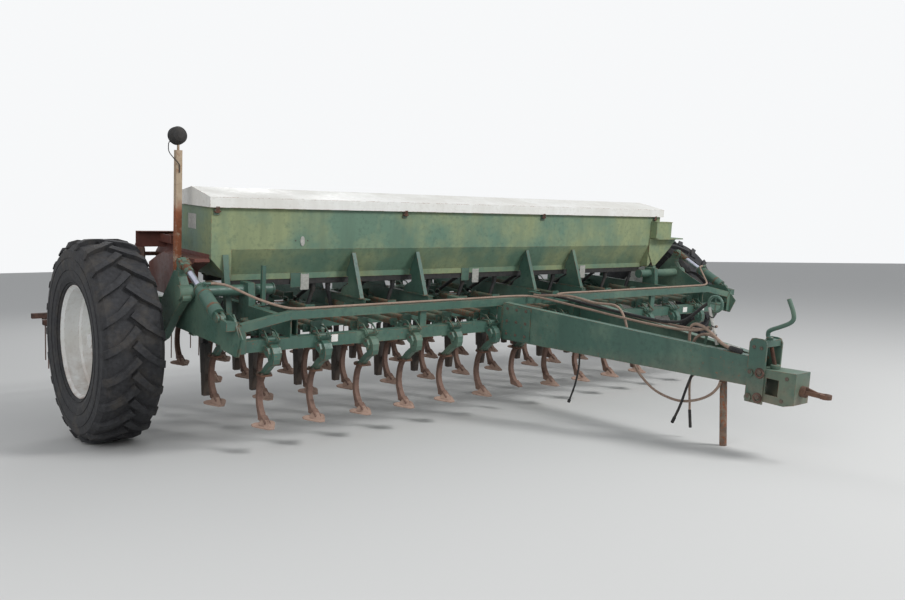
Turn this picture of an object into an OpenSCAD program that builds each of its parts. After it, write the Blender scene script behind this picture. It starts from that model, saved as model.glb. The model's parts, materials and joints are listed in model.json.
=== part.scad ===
// Trailed tine seed drill, four rows of tines under a long covered hopper.
// X is across the machine, -Y is forward, +Z is up, all in millimetres.
// It stands parked, nose down, on its two wheels and its front stand.
// Fore and aft places are counted from the front edge of the lid.

/* [Stance] */
// lean of the frame towards the hitch, degrees
nose_down = 5.5; // [0:0.5:7]
// wheel axis, aft of the lid edge
axle_y = 520; // [400:10:650]
// wheel axis, above the level line
axle_z = 772; // [700:1:850]
// moves the whole machine so that its box is centred
shift_y = 935.7; // [900:0.1:1100]

/* [Wheels] */
// radius of the tyre at its lugs
tyre_r = 815; // [780:1:850]
// width of the tyre
tyre_w = 480; // [440:1:500]
// radius of the rim flange
rim_r = 452; // [430:1:470]
// width of the rim
rim_w = 400; // [360:1:420]
// wheel centre from the middle of the machine
wheel_x = 3545; // [3500:1:3600]
// lugs on each side of a tyre
lug_n = 22; // [18:1:26]

/* [Hopper] */
// half the length of the hopper
hop_x = 2848.5; // [2700:0.5:2900]
// height of the rim
hop_top = 1960; // [1940:1:1962]
// height where the front and rear turn inward
hop_bend = 1540; // [1500:1:1600]
// front face
hop_front = 30; // [20:1:40]
// rear face
hop_rear = 724; // [700:1:740]
// sheet of the hopper
sheet = 5; // [3:0.5:8]

/* [Lid] */
// half the length of the lid
lid_x = 2873.5; // [2850:0.5:2900]
// depth of the lid
lid_d = 754; // [740:1:780]
// lower edge of the lid
lid_low = 1882; // [1870:1:1890]
// fold of the lid
lid_fold = 1966; // [1950:1:1980]
// ridge of the lid
lid_top = 2035; // [2000:1:2060]

/* [Frame] */
// size of the tool bars
bar = 90; // [70:1:100]
// height of the tool bars at mid depth
bar_z = 917; // [900:1:930]
// first tool bar, at mid depth
bar_y = -825; // [-850:1:-800]
// pitch of the tool bars
bar_p = 780; // [700:1:800]
// inner face of the side plates
side_x = 3040; // [3000:1:3080]
// height of the fore and aft beams
beam_h = 140; // [100:1:160]

/* [Tines] */
// tines in a row
tine_n = 13; // [9:1:15]
// pitch of the tines in a row
tine_p = 435; // [400:1:460]

/* [Lift] */
// lift shaft, fore and aft
lift_y = -100; // [-150:1:-80]
// lift shaft height
lift_z = 1225; // [1200:1:1240]
// lift shaft radius
lift_r = 44; // [35:1:50]
// middle plane of the cylinders
cyl_x = 3120; // [3110:1:3130]

/* [Hidden] */
gap = 0.3;
$fn = 32;

green = [0.42, 0.56, 0.45];
pale = [0.9, 0.9, 0.86];
rust = [0.42, 0.2, 0.15];
black = [0.08, 0.08, 0.09];
steel = [0.6, 0.6, 0.6];
earth = [0.55, 0.42, 0.36];

bar_top = bar_z + bar / 2;
beam_top = bar_top + beam_h;
mid_y = (hop_front + hop_rear) / 2;
stand_y = axle_y + shift_y - 520 + (-2902 - axle_y) * cos(nose_down)
  - (700 - axle_z) * sin(nose_down);
eye_y = -3708;
eye_z = 840;

// frame lean, from machine places to the parked place
module parked()
  translate([0, axle_y + shift_y - 520, tyre_r])
    rotate([nose_down, 0, 0])
      translate([0, -axle_y, -axle_z])
        children();

// outline of fore-aft and up, from x0 to x1
module yz(x0, x1, pts)
  translate([x0, 0, 0]) rotate([90, 0, 90]) linear_extrude(x1 - x0) polygon(pts);

// outline of across and up, from y0 to y1
module xz(y0, y1, pts)
  translate([0, y1, 0]) rotate([90, 0, 0]) linear_extrude(y1 - y0) polygon(pts);

// outline of across and fore-aft, from z0 to z1
module xy(z0, z1, pts)
  translate([0, 0, z0]) linear_extrude(z1 - z0) polygon(pts);

module box(x0, x1, y0, y1, z0, z1)
  translate([x0, y0, z0]) cube([x1 - x0, y1 - y0, z1 - z0]);

// round bar lying across
module across(x0, x1, y, z, r)
  translate([x0, y, z]) rotate([0, 90, 0]) cylinder(h = x1 - x0, r = r);

// round bar from a to b
module bar_ab(a, b, r) {
  d = b - a;
  l = norm(d);
  translate(a) rotate([0, acos(d[2] / l), atan2(d[1], d[0])]) cylinder(h = l, r = r);
}

module both() {
  children();
  mirror([1, 0, 0]) children();
}

module side(s) {
  if (s > 0) children();
  if (s < 0) mirror([1, 0, 0]) children();
}

// frame

beam_xs = [-2580, -1455, -740, 665, 1370, 2580];

module side_plates() color(green) parked() both() {
  difference() {
    union() {
      yz(side_x, side_x + 10, [[-506, 1126], [-200, 1262], [-160, 1292], [-40, 1292],
        [70, 1134], [160, 1134], [420, 1000], [1575, 1000], [1575, 868], [900, 868],
        [880, 893], [119, 893], [-652, 889], [-912, 854], [-975, 997], [-820, 1155]]);
      yz(side_x + 9, side_x + 20, [[-572, 1059], [-640, 870], [-900, 852], [-955, 990],
        [-860, 1122], [-790, 1148], [-700, 1140]]);
    }
    across(side_x - 5, side_x + 30, lift_y, lift_z, lift_r + gap);
  }
  xz(-903.3, -895.3, [[2985, 872], [side_x + 1, 872], [side_x + 1, 1095], [2985, 1020]]);
  difference() {
    union() {
      yz(cyl_x - 12, cyl_x + 12, [[-757, 1150], [-785, 1143], [-800, 1120], [-890, 1110],
        [-890, 1045], [-800, 1050], [-757, 1090], [-730, 1100], [-728, 1135]]);
      box(side_x + 19, cyl_x + 12, -890, -805, 1045, 1110);
    }
  }
  across(cyl_x - 34, cyl_x + 34, -757, 1120, 14);
}

module tube_x(x0, x1, y, z, a, t) difference() {
  box(x0, x1, y - a / 2, y + a / 2, z - a / 2, z + a / 2);
  box(x0 - 1, x1 + 1, y - a / 2 + t, y + a / 2 - t, z - a / 2 + t, z + a / 2 - t);
}

drag_xs = [-2175, -870, 870, 2175];

module tool_bars() color(green) parked() {
  for (i = [0 : 3]) tube_x(-side_x + gap, side_x - gap, bar_y + i * bar_p, bar_z, bar, 8);
  for (x = drag_xs) {
    for (s = [-1, 1]) yz(x + s * 30 - 5, x + s * 30 + 5, [[1559, 955], [1559, 879],
      [1630, 768], [1665, 766], [1682, 795], [1672, 822]]);
    across(x - 38, x + 38, 1650, 795, 12);
  }
}

module channel(y0, y1) xz(y0, y1, [[-30, bar_top + gap], [30, bar_top + gap],
  [30, bar_top + 10], [-21, bar_top + 10], [-21, beam_top - 9], [30, beam_top - 9],
  [30, beam_top], [-30, beam_top]]);

module frame_beams() color(green) parked() {
  for (x = beam_xs) translate([x, 0, 0]) channel(abs(x) > 2000 ? -870 : -165, 1560);
  both() translate([-508, -866, 0]) rotate([0, 0, 2]) channel(0, 680);
  xy(bar_top + gap, bar_top + 9, [[-765, -150], [-702, -150], [-702, -192], [-500, -192],
    [-500, -226], [-765, -226]]);
  xy(bar_top + gap, bar_top + 9, [[500, -226], [690, -226], [690, -160], [640, -160],
    [640, -192], [500, -192]]);
}

module upper_rail() color(green) parked() {
  difference() {
    xz(-895, -835, [[-3020, 1088], [-2612, 1166 + gap], [2612, 1166 + gap], [3020, 1088],
      [3020, 1024], [2612, 1102 + gap], [-2612, 1102 + gap], [-3020, 1024]]);
    xz(-890, -840, [[-3025, 1082], [-2612, 1161], [2612, 1161], [3025, 1082],
      [3025, 1030], [2612, 1107], [-2612, 1107], [-3025, 1030]]);
  }
  for (x = [-1362, 1670]) box(x - 32, x + 32, -872, -840, bar_top + gap, 1103);
  both() {
    box(3000, side_x - gap, -888, -842, bar_top + gap, 1032);
    yz(2530, 2538, [[-779, 880], [-700, 880], [-560, 1090], [-835, 1103], [-835, 963],
      [-779, 963]]);
  }
}

module shaft_bearings() color(green) parked() both() {
  difference() {
    yz(2560, 2620, [[-190, beam_top + gap], [-10, beam_top + gap], [-10, 1150],
      [-30, 1290], [-170, 1290], [-190, 1150]]);
    across(2500, 2700, lift_y, lift_z, lift_r + gap);
  }
}

beam_line = [[0, 805], [0, 1139], [2261, 1030], [2261, 810]];

module draw_beam() translate([-508, -930, 0]) rotate([0, 0, -79.1]) {
  translate([0, 10, 0]) rotate([90, 0, 0]) linear_extrude(10) polygon(beam_line);
  translate([0, 70, 0]) rotate([90, 0, 0]) linear_extrude(70)
    polygon([[0, 1128], [0, 1139], [2261, 1030], [2261, 1019]]);
  translate([0, 70, 0]) rotate([90, 0, 0]) linear_extrude(70)
    polygon([[0, 805], [0, 816], [2261, 821], [2261, 810]]);
  translate([0, 0.5, 0]) rotate([90, 0, 0]) linear_extrude(9)
    polygon([[0, 815], [0, 1128], [300, 1112], [300, 818]]);
}

module drawbar() color(green) parked() {
  draw_beam();
  mirror([1, 0, 0]) draw_beam();
  both() box(400, 530, -932, -870 - gap, 815, 1100);
  box(-78, 78, -3162, -3146, 806, 1034);
  box(-190, 190, -2700, -2640, 830, 1000);
  difference() {
    box(-150, 150, -2960, -2850, 838, 968);
    translate([0, -2902, 700]) rotate([-nose_down, 0, 0]) cylinder(h = 500, r = 28.5);
  }
}

module hitch_plates() color(green) parked() {
  both() yz(94.3, 108, [[-3290, 700], [-3150, 700], [-3150, 1140], [-3165, 1168],
    [-3190, 1175], [-3250, 1175], [-3275, 1168], [-3290, 1140]]);
  both() {
    across(107, 124, -3180, 915, 26);
    across(107, 124, -3180, 735, 26);
    box(81, 95, -3162, -3150, 820, 1030);
  }
  box(-95, 95, -3280, -3225, 1118, 1165);
}

module hitch_box() color(green) parked() {
  difference() {
    both() yz(82, 94, [[-3165, 952], [-3530, 972], [-3530, 745], [-3450, 721],
      [-3165, 721]]);
    both() box(70, 100, -3400, -3300, 780, 900);
  }
  yz(-83, 83, [[-3165, 940], [-3165, 952], [-3530, 972], [-3530, 960]]);
  box(-83, 83, -3440, -3165, 721, 733);
  difference() {
    box(-83, 83, -3530, -3510, 745, 965);
    translate([0, -3600, eye_z]) rotate([-90, 0, 0]) cylinder(h = 200, r = 24 + gap);
  }
  box(-83, 83, -3412, -3400, 733, 950);
}

module hitch_screw() color(green) parked() {
  bar_ab([0, -3308, 968], [0, -3262, 1113.6], 14);
  box(-30, 30, -3335, -3285, 961.8, 990);
  bar_ab([0, -3245, 1170], [0, -3230, 1205], 13);
  bar_ab([0, -3230, 1200], [0, -3372, 1285], 12);
  bar_ab([0, -3370, 1280], [0, -3362, 1480], 12);
}

module hose_hoop() color(green) parked() {
  bar_ab([0, -2690, 1002.8], [0, -2750, 1296], 10);
  difference() {
    across(-8, 8, -2762, 1357, 67);
    across(-9, 9, -2762, 1357, 52);
  }
  bar_ab([0, -2762, 1298], [0, -2762, 1416], 6);
  bar_ab([0, -2703, 1357], [0, -2821, 1357], 6);
  box(-30, 30, -2695, -2645, 1000 + gap, 1008);
}

// hopper

// panels of the hopper in section, front half; the rear half mirrors it about mid_y
panel_slope = [[30, hop_bend - gap], [134, 1324], [139, 1324], [35, hop_bend - gap]];
panel_trough = [[134, 1324 - gap], [134, 1272], [212, 1272], [212, 1277], [139, 1277],
  [139, 1324 - gap]];
panel_ridge = [[212 + gap, 1277], [212 + gap, 1272], [216, 1272], [mid_y, 1520],
  [2 * mid_y - 216, 1272], [2 * mid_y - 212 - gap, 1272], [2 * mid_y - 212 - gap, 1277],
  [mid_y, 1529]];
end_top = 1474;

module front_and_rear() {
  children();
  translate([0, 2 * mid_y, 0]) mirror([0, 1, 0]) children();
}

module hopper_shell() color(green) parked() {
  front_and_rear() {
    box(-hop_x, hop_x, hop_front, hop_front + sheet, hop_bend, hop_top);
    yz(-2672, 2672, panel_slope);
    yz(-2672, 2672, panel_trough);
    both() {
      xz(hop_front, hop_front + sheet, [[2672 + gap, hop_bend - gap], [2672 + gap, 1291],
        [2700, 1300], [hop_x, 1468], [hop_x, hop_bend - gap]]);
      yz(2672 + gap, 2677, [[35 + gap, hop_bend - gap], [137, 1325], [137, 1296],
        [35 + gap, 1296]]);
    }
  }
  yz(-2672, 2672, panel_ridge);
  both() {
    xz(hop_front + sheet + gap, hop_rear - sheet - gap, [[2672, 1284], [2672, 1290],
      [hop_x, end_top], [hop_x, end_top - 6]]);
    box(hop_x - sheet, hop_x, hop_front + sheet + gap, hop_rear - sheet - gap,
      end_top + gap, hop_top);
    yz(2672 + gap, 2677, [[228, 1296], [mid_y, 1526], [2 * mid_y - 228, 1296]]);
  }
}

module hopper_ribs() color(green) parked() {
  for (x = [-1420, 0, 1420]) {
    box(x - 20, x + 20, hop_front + sheet + gap, hop_rear - sheet - gap, 1900, 1908);
    box(x - 3, x + 3, hop_front + sheet + gap, hop_rear - sheet - gap, 1870, 1901);
  }
  for (x = [-2808, -946, 861, 2734]) {
    box(x - 25, x + 25, 22, hop_front - gap, x > 2700 ? 1827 + gap : 1820,
      1872);
    box(x - 18, x + 18, 4, 23, 1850, 1872);
  }
  for (x = [-2700, -1350, 0, 1350, 2700]) {
    box(x - 15, x + 15, hop_rear + gap, 768, 1860, 1870);
    difference() {
      across(x - 15, x + 15, 768, 1868, 10);
    }
    across(x - 40, x + 40, 768, 1868, 6);
  }
}

leg_web = [[28, 1503], [-130, beam_top + gap], [230, beam_top + gap], [190, 1170],
  [102, 1212], [102, 1276], [133, 1278], [133.6, 1324], [46, 1503]];

module legs_half() {
  for (x = [-1494, -778, 664, 1367]) {
    yz(x - 4, x + 4, leg_web);
    yz(x - 20, x + 20, [[24, 1503], [30, 1503], [-130, beam_top + gap],
      [-138, beam_top + gap]]);
    box(x - 30, x + 30, -138, 232, beam_top + gap, beam_top + 8);
  }
}

module end_leg(x) {
  yz(x - 4, x + 4, [[29.5, 1500], [-75, bar_top + gap], [0, bar_top + gap], [90, 1290],
    [29.5, 1325]]);
  yz(x - 25, x + 25, [[22, 1500], [29.5, 1500], [-72, bar_top + gap],
    [-82, bar_top + gap]]);
}

module hopper_legs() color(green) parked() {
  legs_half();
  end_leg(-2727);
  difference() {
    end_leg(2750);
    box(2700, 2800, -50, 100, 1300 - gap, 1600);
  }
  translate([0, 2 * mid_y, 0]) mirror([0, 1, 0]) {
    legs_half();
    end_leg(-2750);
    end_leg(2750);
  }
  for (x = [-2020, -86, 1460]) box(x - 50, x + 50, 128, 134 - gap, 1195, 1323);
}

// first tine of each row, and how far single tines stand aside for a beam
row_x = [-2770, -2810, -2600, -2910];
aside = [[0, 0, 0, 0, 0, 0, 0, 0, 0, 0, 0, 0, 0],
  [0, 0, 0, -40, 0, 0, 0, 0, 87, 0, 0, 0, 0],
  [115, 0, 0, 0, 0, 0, 0, 0, 0, -40, 0, 0, -135],
  [0, 0, 0, 0, 0, 90, 0, 0, 0, 0, 25, 0, 0]];
function tine_x(r, k) = row_x[r] + k * tine_p + aside[r][k];

module seed_meters() color(rust) parked() {
  for (y = [140, 542]) box(-2660, 2660, y, y + 72, 1222, 1272 - gap);
  for (k = [0 : 12]) {
    translate([tube_top(1, k), 176, 1190]) cylinder(h = 33, r = 24);
    translate([tube_top(2, k), 578, 1190]) cylinder(h = 33, r = 24);
  }
}

// tubes are led round the beams, so their tops stand off a little
off_1 = [190, 120, 120, -120, 120, 120, 120, 120, 120, 120, 120, 120, 120];
off_2 = [150, 150, 150, 150, -150, 150, 150, 150, 150, -150, 150, -150, -150];
function tube_top(r, k) = tine_x(r, k) + (r == 1 ? off_1[k] : off_2[k]);

module seed_tube(p, r) {
  last = len(p) - 1;
  bar_ab(p[0], p[0] - [0, 0, 42], r + 4);
  bar_ab(p[last] + [0, 0, 52], p[last], r + 4);
  for (i = [1 : last]) bar_ab(
    i == 1 ? p[0] - [0, 0, 26] : p[i - 1],
    i == last ? p[last] + [0, 0, 34] : p[i], r);
  if (last > 1) for (i = [1 : last - 1]) translate(p[i]) sphere(r = r + 3, $fn = 24);
}

module seed_tubes() color(black) parked()
  for (k = [0 : 12]) {
    seed_tube([[tube_top(1, k), 176, 1190 - gap], [tine_x(1, k), 206, 750 + gap]], 18);
    seed_tube([[tube_top(2, k), 578, 1190 - gap],
      [tine_x(2, k) + 0.73 * off_2[k], 836, 985], [tine_x(2, k), 983, 750 + gap]], 18);
  }

module boot(x, y) {
  yz(x - 28, x + 28, [[y + 205, bar_z - 612], [y + 250, bar_z - 612],
    [y + 285, bar_z - 300], [y + 275, bar_z - 167], [y + 200, bar_z - 167],
    [y + 182, bar_z - 420]]);
  yz(x - 20, x + 20, [[y + 153, bar_z - 455], [y + 200, bar_z - 455],
    [y + 200, bar_z - 425], [y + 153, bar_z - 425]]);
}

module seed_boots() color(black) parked()
  for (k = [0 : 12]) {
    boot(tine_x(1, k), bar_y + bar_p);
    boot(tine_x(2, k), bar_y + 2 * bar_p);
  }

module walkway() color(rust) parked() {
  for (y = [900, 1330]) box(-2450, 2450, y, y + 30, 1240, 1280);
  for (i = [0 : 28]) box(-2440 + i * 174, -2425 + i * 174, 929, 1331, 1262, 1278);
  for (y = [1010, 1115, 1220]) box(-2440, 2447, y, y + 12, 1262, 1278);
  for (x = [-1455, -740, 665, 1370]) for (y = [902, 1332])
    box(x - 20, x + 20, y, y + 26, beam_top + gap, 1241);
}

module drive_guard() color(rust) parked() {
  yz(-2980, -2853, [[43, 1465], [703, 1465], [862, 1414], [1040, 1343], [1040, 1110],
    [420, 1110], [264, 1200], [264, 1348], [42, 1441]]);
  box(-2853.5, -2848.5 - gap, 60, 690, 1440, 1500);
}

module rear_guard() color(rust) parked() {
  box(-3110, -2700, 1000, 1004, 1480, 1620);
  box(-3110, -2700, 940, 1004, 1616, 1620);
  box(-2905, -2899, hop_rear + gap, 1001, 1530, 1600);
  box(-2905, -2820, hop_rear + gap, 730, 1530, 1600);
  difference() {
    yz(-2840, -2832, [[hop_rear + gap, 1600], [hop_rear + gap, 1500], [1150, 1350],
      [1200, 1340], [1245, 1370], [1250, 1420], [1004, 1600]]);
    across(-2900, -2800, 1200, 1400, 18 + gap);
  }
}

module drive_sprocket() color(rust) parked() {
  across(-3020, -2780, 1200, 1400, 18);
  across(-3010, -2998, 1200, 1400, 128);
  across(-3016, -2990, 1200, 1400, 40);
}

module right_end_box() color(green) parked() {
  difference() {
    box(2690, 2970, -60, hop_front - gap, 1630, 1825);
    box(2696, 2964, -54, hop_front + 10, 1636, 1840);
  }
  box(2684, 2976, -66, hop_front - gap, 1819, 1827);
  box(2720, 3210, -62, hop_front - gap, 1618, 1632);
  box(2855, 3210, 20, 200, 1618, 1632);
  xz(18, 25, [[2672, 1620], [3180, 1620], [3060, 1500], [2810, 1300], [2760, 1300],
    [2672, 1450]]);
  box(2848.5 + gap, 2860, 40, 200, 1560, 1619);
}

module mast() color(pale) parked() {
  difference() {
    box(-side_x + gap, -2989.7, 285, 335, 900, 2320);
    box(-3034.7, -2994.7, 290, 330, 899, 2312);
  }
  box(-3020, -3010, 295, 325, 2319, 2362);
}

module lamp() color(black) parked()
  translate([-3015, 330, 2435]) rotate([-100, 0, 0])
    rotate_extrude() polygon([[0, -78], [30, -74], [55, -58], [70, -30], [73, 5],
      [73, 22], [0, 22]]);

// tines

head = [[-45.3, 25], [-79, 16], [-118, -8], [-145, -45], [-150, -92], [-137, -131],
  [-100, -140], [-62, -122], [-45.3, -80]];
cheek = [[-45.3, 0], [-95, -12], [-120, -50], [-110, -88], [-45.3, -60]];
arm = [[-118, -118], [-80, -108], [-30, -132], [20, -172], [60, -214], [88, -228],
  [88, -249], [30, -249], [-10, -212], [-70, -160], [-118, -142]];

module moved(pts, x0, x1, y) yz(x0, x1, [for (p = pts) [y + p[0], bar_z + p[1]]]);

module tine_head(x, y) {
  moved(head, x - 28, x + 28, y);
  moved(cheek, x - 55, x + 55, y);
  moved(arm, x - 20, x + 20, y);
  moved([[5, -249], [96, -249], [96, -238], [5, -238]], x - 40, x + 40, y);
  moved([[-60, 46], [-60, 24], [-45.3, 24], [-45.3, 46], [45.3, 46], [45.3, -75],
    [56, -75], [56, 57], [-50, 57]], x - 45, x + 45, y);
  for (s = [-1, 1]) moved([[-104, 40], [-96, 36], [-20, 92], [72, 100], [72, 110],
    [-24, 104]], x + s * 44 - 4, x + s * 44 + 4, y);
  moved([[-112, 44], [-104, 34], [-78, 10], [-70, 20]], x - 48, x + 48, y);
  moved([[46, 50], [46, 140], [58, 140], [58, 50]], x - 48, x + 48, y);
  translate([x, y + 57, bar_z + 105]) rotate([-90, 0, 0]) cylinder(h = 344, r = 22, $fn = 20);
  moved([[400, 75], [400, 135], [408, 135], [408, 75]], x - 30, x + 30, y);
  moved([[45, 54], [404, 75], [404, 84], [45, 66]], x - 8, x + 8, y);
}

shank = [[62, -250], [98, -300], [118, -365], [123, -430], [106, -478], [66, -528],
  [12, -572], [40, -600], [88, -556], [128, -505], [150, -438], [146, -365],
  [127, -298], [94, -250]];

module shank_one(x, y) {
  moved(shank, x - 22, x + 22, y);
  moved([[-62, -600], [4, -568], [40, -590], [44, -604], [-60, -612]], x - 25, x + 25, y);
  translate([x, y, bar_z - 600]) rotate([8, 0, 0])
    xy(-10, 0, [[0, -98], [60, -30], [115, 30], [112, 58], [70, 40], [0, 6], [-70, 40],
      [-112, 58], [-115, 30], [-60, -30]]);
}

// spring led forward from a tine of the second row, with its square end plate
module fore_spring(x, y, o) {
  translate([x + o, y - 690, bar_z + 83]) rotate([-90, 0, 0]) cylinder(h = 632, r = 22,
    $fn = 20);
  moved([[-698, 52], [-698, 114], [-690, 114], [-690, 52]], x + o - 31, x + o + 31, y);
  translate([x + o, y - 708, bar_z + 83]) rotate([-90, 0, 0]) cylinder(h = 12, r = 11,
    $fn = 6);
  across(x - 48, x + 48, y - 64, bar_z + 66, 7);
}

module heads(rows) for (r = rows) for (k = [0 : tine_n - 1])
  tine_head(tine_x(r, k), bar_y + r * bar_p);

module shanks(rows) for (r = rows) for (k = [0 : tine_n - 1])
  shank_one(tine_x(r, k), bar_y + r * bar_p);

module tine_heads_front() color(green) parked() {
  heads([0, 1]);
  for (k = [0 : tine_n - 1]) fore_spring(tine_x(1, k), bar_y + bar_p,
    k == 8 ? 26 : -26);
}
module tine_heads_rear() color(green) parked() heads([2, 3]);
module shanks_front() color(earth) parked() shanks([0, 1]);
module shanks_rear() color(earth) parked() shanks([2, 3]);

module marker_post() color(green) parked() {
  box(-2506, -2472, -196, -188, beam_top + gap, 1430);
  box(-2506, -2498, -196, -164, beam_top + gap, 1430);
  box(-2559, -2472, -196, -160, beam_top + gap, beam_top + 8);
  box(-2575, -2559.5, -196, -191, beam_top + gap, beam_top + 8);
}

// lid

lid_out = [[0, 1882], [0, 1966], [377, 2035], [754, 1966], [754, 1882]];
lid_in = [[750, 1882], [750, 1963], [377, 2031], [4, 1963], [4, 1882]];

module lid() color(pale) parked() {
  yz(-lid_x, lid_x, concat(lid_out, lid_in));
  both() yz(lid_x - 4, lid_x, lid_out);
  for (x = [-2700, -1350, 0, 1350, 2700]) for (s = [-1, 1]) translate([x + s * 26, 0, 0])
    difference() {
      union() {
        across(-9, 9, 768, 1868, 10);
        yz(-9, 9, [[754, 1883], [754, 1930], [759, 1930], [777, 1872], [768, 1862],
          [760, 1868]]);
      }
      across(-20, 20, 768, 1868, 6 + gap);
    }
}

// wheels and lift

module arm_half() {
  difference() {
    union() {
      yz(3085, 3155, [[-70, 1385], [30, 1385], [120, 1290], [400, 1000], [585, 840],
        [600, 772], [575, 712], [520, 690], [460, 715], [279, 796], [200, 870],
        [60, 1010], [-90, 1135], [-152, 1165], [-160, 1185], [-150, 1225], [-62, 1345]]);
      yz(cyl_x - 20, cyl_x + 20, [[-75, 1380], [-100, 1450], [-96, 1478], [-64, 1496],
        [-32, 1478], [28, 1380]]);
      across(3066, 3175, lift_y, lift_z, 58);
      across(3066, 3190, axle_y, axle_z, 75);
    }
    across(3050, 3200, -64, 1459, 18.5);
  }
  across(2370, 3070, lift_y, lift_z, lift_r);
  across(2362, 2371, lift_y, lift_z, lift_r + 8);
  across(3186, 3640, axle_y, axle_z, 40);
}

module lift_arm_left() color(green) parked() side(-1) arm_half();
module lift_arm_right() color(green) parked() side(1) arm_half();

module wheel_at(s) parked() translate([s * wheel_x, axle_y, axle_z]) children();

module rim(s) color(pale) wheel_at(s) rotate([0, 90 * s, 0]) {
  rotate_extrude($fn = 64) polygon([[rim_r, -200], [rim_r, -190], [430, -176], [430, -60],
    [415, -40], [415, 40], [430, 60], [430, 176], [rim_r, 190], [rim_r, 200],
    [444, 200], [422, 176], [422, 62], [407, 42], [407, -42], [422, -62], [422, -176],
    [444, -200]]);
  difference() {
    union() {
      translate([0, 0, -40]) cylinder(h = 12, r = 411, $fn = 64);
      translate([0, 0, -150]) cylinder(h = 190, r = 82);
      translate([0, 0, -62]) cylinder(h = 30, r = 160);
    }
    translate([0, 0, -200]) cylinder(h = 300, r = 40 + gap);
  }
  translate([0, 0, 95.5 + gap]) cylinder(h = 8, r = 60);
  difference() {
    translate([0, 0, 39]) cylinder(h = 60, r = 60);
    translate([0, 0, 38]) cylinder(h = 59, r = 52);
  }
}

// outline of a lug as seen from outside the tread: across the tread, then round it
lug_mid = [[-14, 108], [30, 62], [92, 2], [160, -42], [250, -84]];
lug_half = [30, 27, 25, 25, 27];
function lug_edge(s) = [for (i = [0 : 4]) lug_mid[i] + s * lug_half[i] * (i < 3
  ? [0.68, 0.73] : [0.42, 0.91])];
lug_outline = concat(lug_edge(1), [for (i = [4 : -1 : 0]) lug_edge(-1)[i]]);

module lug() translate([740, 0, 0]) rotate([90, 0, 90]) linear_extrude(100)
  polygon([for (q = lug_outline) [q[1], q[0]]]);

module tyre(s) color(black) wheel_at(s) rotate([0, 90 * s, 0]) {
  rotate_extrude($fn = 72) polygon([[rim_r + gap, -196], [rim_r + 8, -212],
    [520, -232], [640, -240], [730, -232], [768, -198], [tyre_r - 38, -120],
    [tyre_r - 38, 120], [768, 198], [730, 232], [640, 240], [520, 232], [rim_r + 8, 212],
    [rim_r + gap, 196], [rim_r + gap, 189.8], [430.3, 176], [430.3, 150], [500, 190],
    [640, 215], [715, 200], [750, 150], [750, -150], [715, -200], [640, -215],
    [500, -190], [430.3, -150], [430.3, -176], [rim_r + gap, -189.8]]);
  intersection() {
    rotate_extrude($fn = 72) polygon([[715, -234], [752, -233], [796, -206],
      [tyre_r, -140], [tyre_r, 140], [796, 206], [752, 233], [715, 234]]);
    for (i = [0 : lug_n - 1]) {
      rotate([0, 0, i * 360 / lug_n]) lug();
      rotate([0, 0, (i + 0.5) * 360 / lug_n]) mirror([0, 0, 1]) lug();
    }
  }
}

module rim_left() rim(-1);
module tyre_left() tyre(-1);
module rim_right() rim(1);
module tyre_right() tyre(1);

// cylinders, along a line from the base pin to the rod pin
module cyl_line(s) parked() side(s) translate([cyl_x, -757, 1120]) rotate([26.07, 0, 0])
  rotate([-90, 0, 0]) children();

module barrel(s) color(green) cyl_line(s) {
  difference() {
    union() {
      translate([0, 0, 46]) cylinder(h = 344, r = 52);
      translate([0, 0, 376]) cylinder(h = 16, r = 57);
      for (t = [-1, 1]) translate([t * 12.3 + (t - 1) * 10, -26, -4]) cube([20, 52, 60]);
      for (t = [-1, 1]) translate([t * 12.3 + (t - 1) * 10, 0, 0]) rotate([0, 90, 0])
        cylinder(h = 20, r = 28);
      translate([0, 0, 350]) rotate([90, 0, 0]) cylinder(h = 82, r = 13);
      translate([0, -70, 350]) rotate([0, -90, 0]) cylinder(h = 50, r = 10);
    }
    translate([0, 0, 62]) cylinder(h = 312, r = 44);
    translate([0, 0, 300]) cylinder(h = 120, r = 25 + gap);
    translate([-60, 0, 0]) rotate([0, 90, 0]) cylinder(h = 120, r = 14 + gap);
    translate([-12.3, -40, -40]) cube([24.6, 80, 85]);
  }
}

module rod(s) color(steel) cyl_line(s) {
  translate([0, 0, 330]) cylinder(h = 290, r = 25);
  translate([0, 0, 305]) cylinder(h = 40, r = 43.7);
  difference() {
    union() {
      translate([0, 0, 612]) cylinder(h = 110, r = 34);
      for (t = [-1, 1]) translate([t * 20.4 + (t - 1) * 11, -26, 700]) cube([22, 52, 72]);
      for (t = [-1, 1]) translate([t * 20.4 + (t - 1) * 11, 0, 771.5]) rotate([0, 90, 0])
        cylinder(h = 22, r = 30);
    }
    translate([-20.4, -50, 722]) cube([40.8, 100, 100]);
  }
  translate([-46, 0, 771.5]) rotate([0, 90, 0]) cylinder(h = 92, r = 14);
}

module barrel_left() barrel(-1);
module rod_left() rod(-1);
module barrel_right() barrel(1);
module rod_right() rod(1);

// harrow

module harrow_tine(x, y) {
  translate([x, y, 145]) cylinder(h = 440, r = 6, $fn = 10);
  across(x - 32, x + 32, y, 590, 20);
}

module harrow() color(rust) parked() {
  for (y = [2430, 2850]) tube_x(-3510, 3510, y, 610, 50, 5);
  for (y = [2430, 2850]) for (i = [0 : 22])
    harrow_tine(-3460 + i * 310 + (y > 2500 ? 80 : 0), y);
  for (x = drag_xs) difference() {
    union() {
      yz(x - 8, x + 8, [[1640, 800], [1625, 785], [1640, 765], [2405, 590], [2880, 590],
        [2880, 630], [2405, 640], [1670, 815]]);
      across(x - 20, x + 20, 1650, 795, 26);
    }
    across(x - 40, x + 40, 1650, 795, 12 + gap);
    for (y = [2430, 2850]) box(x - 10, x + 10, y - 20, y + 20, 590, 630);
  }
}

// front stand

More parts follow.
